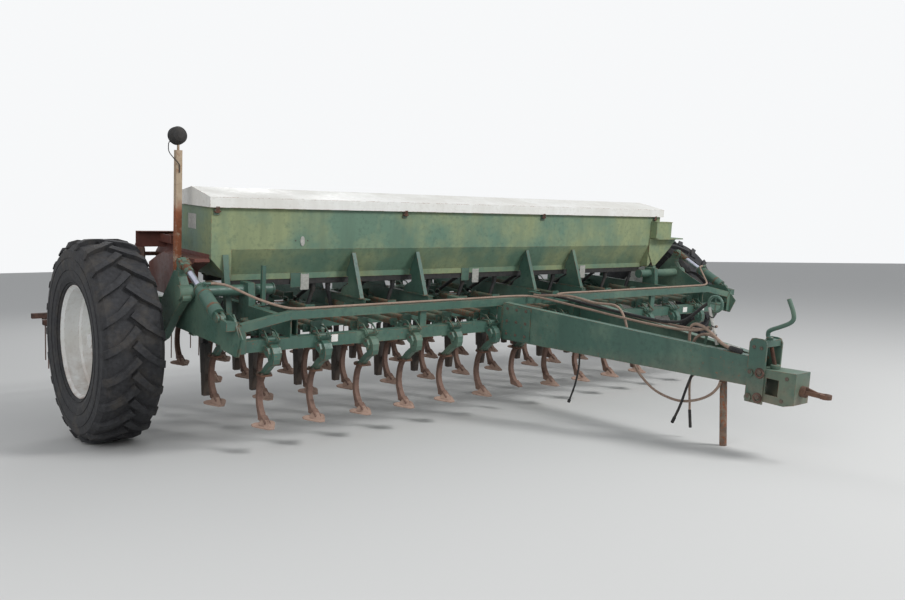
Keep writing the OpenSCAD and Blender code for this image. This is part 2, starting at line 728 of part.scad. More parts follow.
module stand() color(rust)
  translate([0, stand_y, 0]) difference() {
    cylinder(h = 640, r = 27.5);
    translate([0, 0, 6]) cylinder(h = 640, r = 22);
  }

// hitch eye on its swivel

module hitch_eye() color(rust) parked() {
  difference() {
    union() {
      translate([0, eye_y, eye_z - 15]) cylinder(h = 30, r = 40);
      box(-24, 24, -3690, -3560, eye_z - 15, eye_z + 15);
      translate([0, -3566, eye_z]) rotate([-90, 0, 0]) cylinder(h = 35.7, r = 40);
      translate([0, -3540, eye_z]) rotate([-90, 0, 0]) cylinder(h = 105, r = 24);
      translate([0, -3509.7, eye_z]) rotate([-90, 0, 0]) cylinder(h = 30, r = 38);
      yz(-8, 8, [[-3532, 876], [-3560, 878], [-3655, 856], [-3655, 850], [-3532, 850]]);
    }
    translate([0, eye_y, eye_z - 40]) cylinder(h = 80, r = 16.5);
  }
}

// hoses and cables, each a tube along hand-set stations

function unit(v) = v / norm(v);
function dir_at(p, i) = unit(p[min(i + 1, len(p) - 1)] - p[max(i - 1, 0)]);
function side_of(d) = unit(cross(d, abs(d[2]) > 0.9 ? [1, 0, 0] : [0, 0, 1]));

// smooth stations between the route points
function mix(a, b, c, d, t) = 0.5 * ((2 * b) + (c - a) * t + (2 * a - 5 * b + 4 * c - d) * t * t
  + (3 * b - a - 3 * c + d) * t * t * t);
function route(p, n) = concat([for (i = [0 : len(p) - 2]) for (j = [0 : n - 1])
  mix(p[max(i - 1, 0)], p[i], p[i + 1], p[min(i + 2, len(p) - 1)], j / n)],
  [p[len(p) - 1]]);

module hose(p, r, m = 8) {
  n = len(p);
  pts = [for (i = [0 : n - 1]) let (d = dir_at(p, i), s = side_of(d), u = cross(s, d))
    for (k = [0 : m - 1]) p[i] + r * (cos(360 * k / m) * s + sin(360 * k / m) * u)];
  faces = concat([[for (k = [0 : m - 1]) k]],
    [for (i = [0 : n - 2]) for (k = [0 : m - 1])
      [i * m + k, (i + 1) * m + k, (i + 1) * m + (k + 1) % m, i * m + (k + 1) % m]],
    [[for (k = [m - 1 : -1 : 0]) (n - 1) * m + k]]);
  polyhedron(pts, faces);
}

hose_left = [[-3069.7, -473.4, 1336.7], [-3055, -473.4, 1336.7], [-3040, -473.4, 1336.7],
  [-2950, -530, 1320], [-2800, -700, 1240], [-2660, -835, 1192], [-2560, -862, 1178],
  [-2460, -862, 1176.7], [-2200, -862, 1176.7],
  [-1500, -862, 1176.7], [-800, -862, 1176.7], [-300, -862, 1176.7], [-150, -1000, 1176],
  [-100, -1500, 1150], [-80, -2200, 1120], [-60, -2600, 1130], [-50, -2760, 1180]];
hose_right = [[3069.7, -473.4, 1336.7], [3055, -473.4, 1336.7], [3040, -473.4, 1336.7],
  [2950, -530, 1320], [2800, -700, 1240], [2660, -835, 1192], [2560, -862, 1178],
  [2460, -862, 1176.7], [2200, -862, 1176.7],
  [1500, -862, 1176.7], [800, -862, 1176.7], [300, -862, 1176.7], [150, -1000, 1176],
  [100, -1500, 1150], [80, -2200, 1120], [60, -2600, 1130], [50, -2760, 1180]];
lamp_lead = [[-3070.9, 331.6, 2386.4], [-3078.6, 330.4, 2380], [-3086.2, 329.3, 2373.7],
  [-3090, 316, 2310], [-3066, 290, 2262], [-3042, 274, 2232], [-3018, 278, 2205],
  [-3015, 280.7, 2180], [-3015, 280.7, 2140]];

module hoses() color(earth) parked() {
  hose(route(hose_left, 4), 10);
  hose(route(hose_right, 4), 10);
}

module cables() color(black) parked() {
  hose(route(lamp_lead, 4), 4);
}

side_plates();
tool_bars();
frame_beams();
upper_rail();
shaft_bearings();
drawbar();
hitch_plates();
hitch_box();
hitch_screw();
hose_hoop();
hopper_shell();
hopper_ribs();
hopper_legs();
seed_meters();
seed_tubes();
seed_boots();
walkway();
drive_guard();
rear_guard();
drive_sprocket();
right_end_box();
mast();
lamp();
tine_heads_front();
tine_heads_rear();
shanks_front();
shanks_rear();
marker_post();
lid();
lift_arm_left();
lift_arm_right();
rim_left();
tyre_left();
rim_right();
tyre_right();
barrel_left();
rod_left();
barrel_right();
rod_right();
harrow();
stand();
hitch_eye();
hoses();
cables();
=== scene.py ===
# %% [markdown]
# # A weathered seed drill
# The real machine is a trailed seed drill about seven and a half metres wide: a long green
# hopper with a white lid, four rows of sprung tines, two tall tyres with a tractor's tread
# and an A-frame drawbar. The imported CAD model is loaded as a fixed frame. Everything added
# here is looks: paint, rust, earth, springs, bolts and hoses, all in metres and in the
# frame's axes.

import json
import math

import bpy
from mathutils import Matrix, Vector


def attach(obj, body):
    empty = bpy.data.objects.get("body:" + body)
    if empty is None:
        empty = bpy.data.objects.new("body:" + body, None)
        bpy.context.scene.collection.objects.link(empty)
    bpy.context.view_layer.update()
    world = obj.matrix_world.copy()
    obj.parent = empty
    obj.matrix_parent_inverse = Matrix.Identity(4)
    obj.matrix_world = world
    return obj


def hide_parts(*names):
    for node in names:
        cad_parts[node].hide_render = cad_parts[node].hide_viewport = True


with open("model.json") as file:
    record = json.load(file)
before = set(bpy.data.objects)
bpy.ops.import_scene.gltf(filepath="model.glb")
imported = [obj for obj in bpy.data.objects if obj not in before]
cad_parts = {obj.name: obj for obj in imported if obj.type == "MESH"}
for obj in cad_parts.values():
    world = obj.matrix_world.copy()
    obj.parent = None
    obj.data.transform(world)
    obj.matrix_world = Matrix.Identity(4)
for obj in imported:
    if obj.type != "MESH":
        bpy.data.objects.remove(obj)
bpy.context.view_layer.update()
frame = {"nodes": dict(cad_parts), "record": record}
nodes = frame["nodes"]
scene = bpy.context.scene
print("CAD nodes loaded:", len(nodes))

# %% [markdown]
# The drill is parked with its nose down on a short stand, so the whole frame leans by five
# and a half degrees. Sizes are easiest to read on the machine when it is level. So places
# are written level, in metres, and these helpers turn them to where the parked machine is.

# %% From level machine places to parked places
LEAN = math.radians(5.5)
AXLE_Y = 0.520
AXLE_Z = 0.772
TYRE_RADIUS = 0.815
SHIFT_Y = 0.9357


def leaned(x, y, z):
    along = y * math.cos(LEAN) - z * math.sin(LEAN)
    up = y * math.sin(LEAN) + z * math.cos(LEAN)
    return Vector((x, along, up))


def parked(x, y, z):
    dy = y - AXLE_Y
    dz = z - AXLE_Z
    along = dy * math.cos(LEAN) - dz * math.sin(LEAN) + SHIFT_Y
    up = dy * math.sin(LEAN) + dz * math.cos(LEAN) + TYRE_RADIUS
    return Vector((x, along, up))


print("Hitch eye stands at", [round(c, 3) for c in parked(0, -3.708, 0.84)])

# %% [markdown]
# The camera stands ahead of the machine's left wheel, at eye height, and looks a little
# down. It could be aimed by eye, but then every edge would miss by a little. So its place
# and turn were found by fitting the straight edges of the hopper, the tool bars and both
# tyres, and the view lines up with the machine.

# %% Camera
YAW = math.radians(39.39)
DIP = math.radians(7.732)
ROLL = math.radians(2.959)
EYE = (-5.819, -6.672, 2.195)
IMAGE_WIDTH = 905
FOCAL_PIXELS = 882.592
SENSOR_WIDTH = 36.0
look = Vector((math.sin(YAW) * math.cos(DIP), math.cos(YAW) * math.cos(DIP), -math.sin(DIP)))
right = Vector((math.cos(YAW), -math.sin(YAW), 0.0))
up = right.cross(look)
right_rolled = math.cos(ROLL) * right + math.sin(ROLL) * up
up_rolled = -math.sin(ROLL) * right + math.cos(ROLL) * up
camera_data = bpy.data.cameras.new("camera")
camera_data.sensor_width = SENSOR_WIDTH
camera_data.lens = FOCAL_PIXELS / IMAGE_WIDTH * SENSOR_WIDTH
camera_data.clip_end = 200.0
camera = bpy.data.objects.new("camera", camera_data)
scene.collection.objects.link(camera)
columns = (leaned(*right_rolled), leaned(*up_rolled), -leaned(*look))
turn = Matrix(columns).transposed().to_4x4()
camera.matrix_world = Matrix.Translation(parked(*EYE)) @ turn
bpy.context.scene.camera = camera
print("Camera height:", round(camera.matrix_world.translation.z, 2))

# %% [markdown]
# The machine is lit as in a studio. One sun would throw hard shadows among the tines, so
# broad discs of light are used: a soft key from the front right, a weak fill from the left
# and a soft light behind for the back views. The camera and all reflections see a whiter
# world than the one that lights the paint, so the background is nearly white and the white
# lid keeps its tone.

# %% Lamps and world
scene.view_settings.view_transform = "Standard"
LAMPS = {"key": ((4.0, -9.5, 9.5), (0, -0.5, 1.0), 4.0, 1120),
         "fill": ((-9.0, -5.0, 5.0), (0, 0, 1.0), 6.0, 240),
         "rear": ((3.0, 11.0, 9.0), (0, 0.5, 1.0), 6.0, 290)}
for name, (place, aim, size, power) in LAMPS.items():
    lamp_data = bpy.data.lights.new(name, "AREA")
    lamp_data.shape = "DISK"
    lamp_data.size = size
    lamp_data.energy = power
    lamp = bpy.data.objects.new(name, lamp_data)
    scene.collection.objects.link(lamp)
    lamp.location = place
    lamp.rotation_euler = (Vector(aim) - Vector(place)).to_track_quat("-Z", "Y").to_euler()


def wire(tree, start, end):
    tree.links.new(start, end)


def most(tree, a, b):
    node = tree.nodes.new("ShaderNodeMath")
    node.operation = "MAXIMUM"
    wire(tree, a, node.inputs[0])
    wire(tree, b, node.inputs[1])
    return node.outputs["Value"]


def background(tree, colour, strength):
    node = tree.nodes.new("ShaderNodeBackground")
    node.inputs["Color"].default_value = (*colour, 1.0)
    node.inputs["Strength"].default_value = strength
    return node.outputs["Background"]


world = bpy.data.worlds.new("sky")
scene.world = world
world.use_nodes = True
sky = world.node_tree
sky.nodes.clear()
sky_out = sky.nodes.new("ShaderNodeOutputWorld")
sky_mix = sky.nodes.new("ShaderNodeMixShader")
ray = sky.nodes.new("ShaderNodeLightPath")
seen_ray = ray.outputs["Is Camera Ray"]
for other_ray in ("Is Glossy Ray", "Is Transmission Ray"):
    seen_ray = most(sky, seen_ray, ray.outputs[other_ray])
wire(sky, seen_ray, sky_mix.inputs["Fac"])
wire(sky, background(sky, (0.93, 0.96, 1.0), 0.42), sky_mix.inputs[1])
wire(sky, background(sky, (0.93, 0.94, 0.95), 1.0), sky_mix.inputs[2])
wire(sky, sky_mix.outputs["Shader"], sky_out.inputs["Surface"])
print("Lamps:", ", ".join(LAMPS))

# %% [markdown]
# The floor is one wide, plain and pale square a millimetre below the tyres. Every new mesh
# starts as a primitive, and an operator acts on all that is selected, so this helper first
# deselects everything.

# %% Floor
FLOOR_SIZE = 120


def added(add_primitive, **sizes):
    bpy.ops.object.select_all(action="DESELECT")
    add_primitive(**sizes)
    return bpy.context.object


floor = added(bpy.ops.mesh.primitive_plane_add, size=FLOOR_SIZE, location=(0, 0, -0.001))
floor.name = "floor"
floor_paint = bpy.data.materials.new("floor_pale")
floor_paint.use_nodes = True
floor_shader = floor_paint.node_tree.nodes["Principled BSDF"]
floor_shader.inputs["Base Color"].default_value = (0.62, 0.62, 0.61, 1.0)
floor_shader.inputs["Roughness"].default_value = 0.9
floor.data.materials.append(floor_paint)
print("Floor is", FLOOR_SIZE, "m wide")

# %% [markdown]
# ## Finishes
# Years in the weather have bleached the green paint to yellowish patches, left rust at chips
# and edges, and put earth on everything low. A picture wrapped round the parts would stretch
# on the long sheets, so each finish is worked out from noise at its real size, in metres on
# Object coordinates. These helpers add one small step each: a noise, a ramp between two of
# its levels, a product, a blend of two colours, a range for the gloss, and bumps.

# %% Small steps of a finish
def noise(tree, place, scale, detail, rough=0.6, stretch=(1.0, 1.0, 1.0)):
    mapping = tree.nodes.new("ShaderNodeMapping")
    mapping.inputs["Scale"].default_value = stretch
    wire(tree, place, mapping.inputs["Vector"])
    grain = tree.nodes.new("ShaderNodeTexNoise")
    grain.inputs["Scale"].default_value = scale
    grain.inputs["Detail"].default_value = detail
    grain.inputs["Roughness"].default_value = rough
    wire(tree, mapping.outputs["Vector"], grain.inputs["Vector"])
    return grain.outputs["Fac"]


def ramp(tree, value, low, high, top=1.0):
    span = tree.nodes.new("ShaderNodeMapRange")
    span.inputs["From Min"].default_value = low
    span.inputs["From Max"].default_value = high
    span.inputs["To Max"].default_value = top
    wire(tree, value, span.inputs["Value"])
    return span.outputs["Result"]


def between(tree, value, start, end):
    span = tree.nodes.new("ShaderNodeMapRange")
    span.inputs["To Min"].default_value = start
    span.inputs["To Max"].default_value = end
    wire(tree, value, span.inputs["Value"])
    return span.outputs["Result"]


def times(tree, a, b):
    node = tree.nodes.new("ShaderNodeMath")
    node.operation = "MULTIPLY"
    wire(tree, a, node.inputs[0])
    if isinstance(b, float):
        node.inputs[1].default_value = b
    else:
        wire(tree, b, node.inputs[1])
    return node.outputs["Value"]


def blend_colour(tree, factor, first, second):
    node = tree.nodes.new("ShaderNodeMix")
    node.data_type = "RGBA"
    wire(tree, factor, node.inputs["Factor"])
    for socket, colour in ((node.inputs["A"], first), (node.inputs["B"], second)):
        if isinstance(colour, tuple):
            socket.default_value = (*colour, 1.0)
        else:
            wire(tree, colour, socket)
    return node.outputs["Result"]


def bumps(tree, shader, height, strength, depth):
    bump = tree.nodes.new("ShaderNodeBump")
    bump.inputs["Strength"].default_value = strength
    bump.inputs["Distance"].default_value = depth
    wire(tree, height, bump.inputs["Height"])
    wire(tree, bump.outputs["Normal"], shader.inputs["Normal"])


def height_of(tree, place):
    split = tree.nodes.new("ShaderNodeSeparateXYZ")
    wire(tree, place, split.inputs["Vector"])
    return split.outputs["Z"]


def start_material(name):
    material = bpy.data.materials.new(name)
    material.use_nodes = True
    tree = material.node_tree
    shader = tree.nodes["Principled BSDF"]
    place = tree.nodes.new("ShaderNodeTexCoord").outputs["Object"]
    return material, tree, shader, place


# %% [markdown]
# Paint is the main finish. A large soft noise bleaches it, streaks run down it, fine grime
# lies on it, and earth clings below a given height. A sharp small noise breaks it into chips
# with rust below. Edges could be rubbed by hand, face by face, but a Bevel node finds them
# all: near an edge its normal turns away from the face's own.

# %% The recipe for weathered paint
EARTH = (0.3, 0.2, 0.14)
RUST = (0.16, 0.055, 0.025)
EDGE_WEAR = 0.006


def worn_edges(tree, place):
    bevel = tree.nodes.new("ShaderNodeBevel")
    bevel.samples = 4
    bevel.inputs["Radius"].default_value = EDGE_WEAR
    geometry = tree.nodes.new("ShaderNodeNewGeometry")
    dot = tree.nodes.new("ShaderNodeVectorMath")
    dot.operation = "DOT_PRODUCT"
    wire(tree, bevel.outputs["Normal"], dot.inputs[0])
    wire(tree, geometry.outputs["Normal"], dot.inputs[1])
    edges = ramp(tree, dot.outputs["Value"], 0.995, 0.9)
    return times(tree, edges, ramp(tree, noise(tree, place, 14.0, 6.0, 0.7), 0.47, 0.56))


def bare_spots(tree, place, height, chips, rust_line):
    spots = ramp(tree, noise(tree, place, 38.0, 8.0, 0.75), chips, chips + 0.03)
    where = ramp(tree, noise(tree, place, 2.7, 3.0), 0.46, 0.6)
    bare = most(tree, times(tree, spots, where), worn_edges(tree, place))
    if rust_line is not None:
        below = ramp(tree, height, rust_line + 0.06, rust_line - 0.06)
        patchy = ramp(tree, noise(tree, place, 12.0, 6.0, 0.7), 0.34, 0.46)
        bare = most(tree, bare, times(tree, below, patchy))
    return bare


def weathered_paint(name, fresh, bleached, shade, chips=0.62, rust=RUST, earth_top=0.9,
                    bleach=(0.42, 0.62), rust_line=None):
    material, tree, shader, place = start_material(name)
    patches = ramp(tree, noise(tree, place, 1.6, 5.0, 0.62), *bleach)
    streaks = ramp(tree, noise(tree, place, 7.0, 4.0, 0.6, (1.0, 1.0, 0.12)), 0.45, 0.75, 0.55)
    grime = ramp(tree, noise(tree, place, 26.0, 6.0, 0.7), 0.48, 0.72, 0.5)
    colour = blend_colour(tree, patches, fresh, bleached)
    colour = blend_colour(tree, most(tree, times(tree, streaks, 0.7), grime), colour, shade)
    height = height_of(tree, place)
    low = ramp(tree, height, earth_top, 0.2)
    dusty = times(tree, low, ramp(tree, noise(tree, place, 9.0, 5.0), 0.3, 0.6))
    colour = blend_colour(tree, times(tree, dusty, 0.75), colour, EARTH)
    bare = bare_spots(tree, place, height, chips, rust_line)
    bright_rust = tuple(min(1.0, c * 2.2) for c in rust)
    rusty = blend_colour(tree, noise(tree, place, 55.0, 4.0), rust, bright_rust)
    wire(tree, blend_colour(tree, bare, colour, rusty), shader.inputs["Base Color"])
    dull = between(tree, most(tree, most(tree, bare, grime), patches), 0.42, 0.9)
    wire(tree, dull, shader.inputs["Roughness"])
    pits = times(tree, noise(tree, place, 90.0, 4.0), 0.4)
    bumps(tree, shader, most(tree, bare, pits), 0.25, 0.002)
    return material


# %% [markdown]
# Two plainer recipes follow. Unpainted steel is a mottle of a dark and a light tone under a
# cover of earth that grows towards the ground. Rubber and plastic are a finer mottle with
# patches of dust. Both could share the paint's recipe, but neither chips nor bleaches.

# %% The recipes for bare metal and for rubber
def rough_metal(name, dark, light, earth, earthy=0.5, scale=18.0, rough=0.85):
    material, tree, shader, place = start_material(name)
    mottle = ramp(tree, noise(tree, place, scale, 8.0, 0.72), 0.36, 0.66)
    colour = blend_colour(tree, mottle, dark, light)
    low = ramp(tree, height_of(tree, place), 0.75, 0.15)
    cover = times(tree, ramp(tree, noise(tree, place, 11.0, 6.0, 0.7), 0.28, 0.5), low)
    colour = blend_colour(tree, times(tree, cover, earthy), colour, earth)
    wire(tree, colour, shader.inputs["Base Color"])
    shader.inputs["Roughness"].default_value = rough
    bumps(tree, shader, noise(tree, place, 70.0, 7.0, 0.7), 0.6, 0.003)
    return material


def dusty_rubber(name, dark, light, dust, scale=30.0):
    material, tree, shader, place = start_material(name)
    mottle = ramp(tree, noise(tree, place, scale, 6.0, 0.65), 0.35, 0.7)
    colour = blend_colour(tree, mottle, dark, light)
    patch = ramp(tree, noise(tree, place, 5.0, 6.0, 0.7), 0.5, 0.72, 0.6)
    wire(tree, blend_colour(tree, patch, colour, dust), shader.inputs["Base Color"])
    shader.inputs["Roughness"].default_value = 0.82
    bumps(tree, shader, noise(tree, place, 120.0, 5.0, 0.7), 0.4, 0.002)
    return material


# %% The machine's paints, steels and rubbers
green_paint = weathered_paint(
    "green_paint", fresh=(0.058, 0.125, 0.096), bleached=(0.15, 0.222, 0.158),
    shade=(0.026, 0.048, 0.04), earth_top=0.7, bleach=(0.48, 0.72))
hopper_paint = weathered_paint(
    "hopper_paint", fresh=(0.122, 0.212, 0.15), bleached=(0.265, 0.31, 0.17),
    shade=(0.062, 0.1, 0.072), chips=0.68)
white_paint = weathered_paint(
    "white_paint", fresh=(0.8, 0.8, 0.77), bleached=(0.74, 0.73, 0.69),
    shade=(0.55, 0.53, 0.48), chips=0.74)
cream_paint = weathered_paint(
    "cream_paint", fresh=(0.76, 0.77, 0.76), bleached=(0.7, 0.7, 0.66), shade=(0.5, 0.48, 0.43),
    chips=0.65, bleach=(0.5, 0.75))
mast_paint = weathered_paint(
    "mast_paint", fresh=(0.5, 0.4, 0.29), bleached=(0.42, 0.33, 0.23),
    shade=(0.1, 0.045, 0.028), chips=0.52, rust_line=1.9)
maroon_paint = weathered_paint(
    "maroon_paint", fresh=(0.115, 0.034, 0.026), bleached=(0.16, 0.06, 0.045),
    shade=(0.05, 0.022, 0.018), chips=0.58)
spring_paint = weathered_paint(
    "spring_paint", fresh=(0.055, 0.1, 0.07), bleached=(0.12, 0.15, 0.1),
    shade=(0.06, 0.035, 0.026), chips=0.5, rust=(0.11, 0.042, 0.022))
stand_steel = weathered_paint(
    "stand_steel", fresh=(0.05, 0.042, 0.032), bleached=(0.2, 0.19, 0.15),
    shade=(0.03, 0.022, 0.016), chips=0.52, bleach=(0.52, 0.6))
rusty_steel = rough_metal(
    "rusty_steel", dark=(0.04, 0.022, 0.016), light=(0.14, 0.06, 0.034),
    earth=(0.26, 0.17, 0.12))
shank_steel = rough_metal(
    "shank_steel", dark=(0.032, 0.018, 0.015), light=(0.105, 0.052, 0.038),
    earth=(0.3, 0.19, 0.145), earthy=0.75, scale=16.0)
earthy_steel = rough_metal(
    "earthy_steel", dark=(0.16, 0.1, 0.078), light=(0.26, 0.17, 0.13), earth=(0.42, 0.29, 0.23),
    earthy=1.0, scale=14.0)
bolt_steel = rough_metal(
    "bolt_steel", dark=(0.045, 0.04, 0.036), light=(0.15, 0.1, 0.07), earth=(0.2, 0.15, 0.11),
    scale=60.0, rough=0.6)
black_steel = rough_metal(
    "black_steel", dark=(0.012, 0.012, 0.013), light=(0.035, 0.033, 0.03),
    earth=(0.16, 0.11, 0.08), earthy=0.6, scale=20.0, rough=0.7)
bare_plate = rough_metal(
    "bare_plate", dark=(0.3, 0.3, 0.28), light=(0.5, 0.49, 0.45), earth=(0.3, 0.22, 0.16),
    earthy=0.3, scale=40.0, rough=0.5)
tyre_rubber = dusty_rubber(
    "tyre_rubber", dark=(0.012, 0.012, 0.014), light=(0.034, 0.035, 0.039),
    dust=(0.075, 0.064, 0.052))
black_rubber = dusty_rubber(
    "black_rubber", dark=(0.012, 0.012, 0.013), light=(0.03, 0.03, 0.031),
    dust=(0.08, 0.065, 0.05))
hose_rubber = dusty_rubber(
    "hose_rubber", dark=(0.26, 0.18, 0.135), light=(0.38, 0.28, 0.225), dust=(0.16, 0.11, 0.08),
    scale=60.0)
black_plastic = dusty_rubber(
    "black_plastic", dark=(0.012, 0.012, 0.013), light=(0.03, 0.03, 0.03),
    dust=(0.07, 0.06, 0.05))
print("Paints, steels and rubbers made")

# %% [markdown]
# The ram's rod is bright chromed steel with faint dirt, but the fork welded to its end is
# painted green and rusty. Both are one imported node, so two materials would need its faces
# parted. Instead the finish changes where the fork starts, by how far a point lies along
# the ram.

# %% The rod's bright steel and its painted fork
RAM_FOOT = (-0.757, 1.120)
RAM_RISE = math.radians(26.07)
RAM_LINE = leaned(0, math.cos(RAM_RISE), math.sin(RAM_RISE))
FORK_STARTS = 0.608
bright_rod, tree, shader, place = start_material("bright_rod")
along_ram = tree.nodes.new("ShaderNodeVectorMath")
along_ram.operation = "DOT_PRODUCT"
along_ram.inputs[1].default_value = RAM_LINE
wire(tree, place, along_ram.inputs[0])
fork_from = parked(0, *RAM_FOOT).dot(RAM_LINE) + FORK_STARTS
fork = ramp(tree, along_ram.outputs["Value"], fork_from, fork_from + 0.003)
flakes = ramp(tree, noise(tree, place, 30.0, 6.0, 0.7), 0.46, 0.54)
fork_colour = blend_colour(tree, flakes, (0.09, 0.15, 0.11), (0.12, 0.05, 0.025))
dirt = ramp(tree, noise(tree, place, 25.0, 5.0), 0.45, 0.7, 0.6)
chrome = blend_colour(tree, dirt, (0.5, 0.52, 0.62), (0.33, 0.32, 0.36))
wire(tree, blend_colour(tree, fork, chrome, fork_colour), shader.inputs["Base Color"])
wire(tree, between(tree, fork, 0.85, 0.0), shader.inputs["Metallic"])
wire(tree, between(tree, fork, 0.3, 0.8), shader.inputs["Roughness"])
print("Finishes made:", len(bpy.data.materials))

# %% [markdown]
# ## Hoses that hang at the drawbar
# The two long hoses along the rail are in the imported model. At the drawbar more hoses hang
# loose: one sags below the beams in a wide loop, two end in the air, and two arch over to
# their couplings. A simulated rope would settle where it likes, so each is a curve with a
# round bevel along points set from what the machine shows.

# %% One hose along its points
DIAMETER = {"loop_hose": 0.021, "black_hose": 0.021, "pale_hose": 0.019,
            "arch_hose_one": 0.024, "arch_hose_two": 0.024, "hoop_lead": 0.026,
            "ribbed_lead": 0.018}
RIBBED_PARTS = 30


def eased(a, b, c, d, t):
    return 0.5 * (2 * b + (c - a) * t + (2 * a - 5 * b + 4 * c - d) * t * t
                  + (3 * b - a - 3 * c + d) * t * t * t)


def smooth_line(points, parts=5):
    knots = [Vector(point) for point in points]
    last = len(knots) - 1
    line = []
    for i in range(last):
        around = (knots[max(i - 1, 0)], knots[i], knots[i + 1], knots[min(i + 2, last)])
        line.extend(eased(*around, j / parts) for j in range(parts))
    line.append(knots[last])
    return line


def round_curve(name, line, radius):
    curve = bpy.data.curves.new(name, "CURVE")
    curve.dimensions = "3D"
    spline = curve.splines.new("POLY")
    spline.points.add(len(line) - 1)
    for knot, place in zip(spline.points, line):
        knot.co = (*place, 1.0)
    curve.bevel_depth = radius
    curve.bevel_resolution = 3
    curve.use_fill_caps = True
    bar = bpy.data.objects.new(name, curve)
    scene.collection.objects.link(bar)
    return bar


def dressed(piece, finish, body="frame"):
    piece.data.materials.clear()
    piece.data.materials.append(finish)
    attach(piece, body)
    return piece


def hose_along(name, points, finish, ribbed=False):
    line = [parked(*p) for p in smooth_line(points, RIBBED_PARTS if ribbed else 5)]
    hose = round_curve(name, line, DIAMETER[name] / 2)
    if ribbed:
        for number, knot in enumerate(hose.data.splines[0].points):
            knot.radius = 0.8 if number % 2 else 1.0
    return dressed(hose, finish), line


# %% The ends of the hoses
def only(*chosen):
    bpy.ops.object.select_all(action="DESELECT")
    for piece in chosen:
        piece.select_set(True)
    bpy.context.view_layer.objects.active = chosen[0]


def edit_faces(piece, wanted):
    only(piece)
    bpy.ops.object.mode_set(mode="EDIT")
    bpy.ops.mesh.select_all(action="DESELECT")
    bpy.ops.object.mode_set(mode="OBJECT")
    for face in piece.data.polygons:
        face.select = wanted(face)
    bpy.ops.object.mode_set(mode="EDIT")


def hose_end(name, start, end, radius, finish=black_plastic):
    body = added(bpy.ops.mesh.primitive_cylinder_add, vertices=12, radius=radius,
                 depth=(end - start).length)
    edit_faces(body, lambda face: abs(face.normal.z) > 0.9)
    bpy.ops.mesh.bevel(offset=radius * 0.3, segments=2, affect="EDGES")
    bpy.ops.object.mode_set(mode="OBJECT")
    facing = (end - start).to_track_quat("Z", "X").to_matrix().to_4x4()
    body.data.transform(Matrix.Translation((start + end) / 2) @ facing)
    body.name = name
    return dressed(body, finish)


# %% The loop below the beams and the two hanging ends
LOOP = ((-0.060, -0.850, 1.178), (-0.060, -0.895, 1.1785), (-0.058, -0.960, 1.184),
        (-0.055, -1.100, 1.203), (-0.050, -1.316, 1.223), (-0.050, -1.573, 1.204),
        (-0.050, -1.720, 1.212), (-0.055, -1.820, 1.214), (-0.062, -1.895, 1.182),
        (-0.066, -1.950, 1.110), (-0.062, -1.985, 1.010), (-0.050, -2.008, 0.900),
        (-0.030, -2.023, 0.800), (-0.010, -2.062, 0.715), (0.000, -2.131, 0.645),
        (0.000, -2.242, 0.579), (0.000, -2.376, 0.545), (-0.010, -2.531, 0.543),
        (-0.030, -2.690, 0.590), (-0.060, -2.820, 0.660), (-0.085, -2.900, 0.735),
        (-0.095, -2.930, 0.797))
loop_hose, line = hose_along("loop_hose", LOOP, hose_rubber)

BLACK_END = ((-0.060, -2.660, 0.829), (-0.060, -2.655, 0.800), (-0.060, -2.640, 0.763),
             (-0.060, -2.618, 0.700), (-0.060, -2.600, 0.642), (-0.060, -2.575, 0.554),
             (-0.060, -2.549, 0.479), (-0.060, -2.510, 0.385))
black_hose, line = hose_along("black_hose", BLACK_END, black_rubber)
black_cap = hose_end("black_hose_end", line[-3], line[-1] + (line[-1] - line[-2]) * 1.5, 0.014)

PALE_END = ((0.050, -2.652, 0.829), (0.050, -2.640, 0.800), (0.050, -2.600, 0.772),
            (0.050, -2.566, 0.735), (0.050, -2.558, 0.680), (0.050, -2.563, 0.610),
            (0.050, -2.573, 0.538), (0.050, -2.583, 0.436), (0.050, -2.598, 0.345))
pale_hose, line = hose_along("pale_hose", PALE_END, hose_rubber)
pale_cap = hose_end("pale_hose_end", line[-8], line[-1] + (line[-1] - line[-2]), 0.0125)

# %% [markdown]
# Two stiff hoses rise from a cross member, arch over and lie down by the beams' noses in
# their couplings. A black lead runs along the middle to the hoop, and a ribbed one hangs
# below the left beam. Its ribs could be many small rings, but a curve's points each have a
# radius, so every second point is made thinner.

# %% The two arches
ARCH_ONE = ((-0.030, -2.640, 0.960), (-0.030, -2.612, 0.962), (-0.030, -2.588, 0.985),
            (-0.030, -2.576, 1.040), (-0.030, -2.574, 1.101), (-0.034, -2.588, 1.160),
            (-0.042, -2.639, 1.184), (-0.056, -2.732, 1.169), (-0.074, -2.828, 1.124),
            (-0.088, -2.905, 1.086), (-0.094, -2.960, 1.066), (-0.096, -3.010, 1.060))
arch_one, line = hose_along("arch_hose_one", ARCH_ONE, hose_rubber)
one_cap = hose_end("arch_hose_one_end", line[-4], parked(-0.100, -3.090, 1.054), 0.021)

ARCH_TWO = ((0.010, -2.640, 0.920), (0.010, -2.612, 0.922), (0.008, -2.592, 0.950),
            (0.004, -2.590, 1.010), (0.000, -2.610, 1.062), (-0.006, -2.660, 1.100),
            (-0.018, -2.730, 1.116), (-0.032, -2.800, 1.108), (-0.046, -2.866, 1.080),
            (-0.052, -2.915, 1.066), (-0.055, -2.960, 1.062))
arch_two, line = hose_along("arch_hose_two", ARCH_TWO, hose_rubber)
two_cap = hose_end("arch_hose_two_end", line[-4], parked(-0.057, -3.040, 1.056), 0.019,
                   bare_plate)

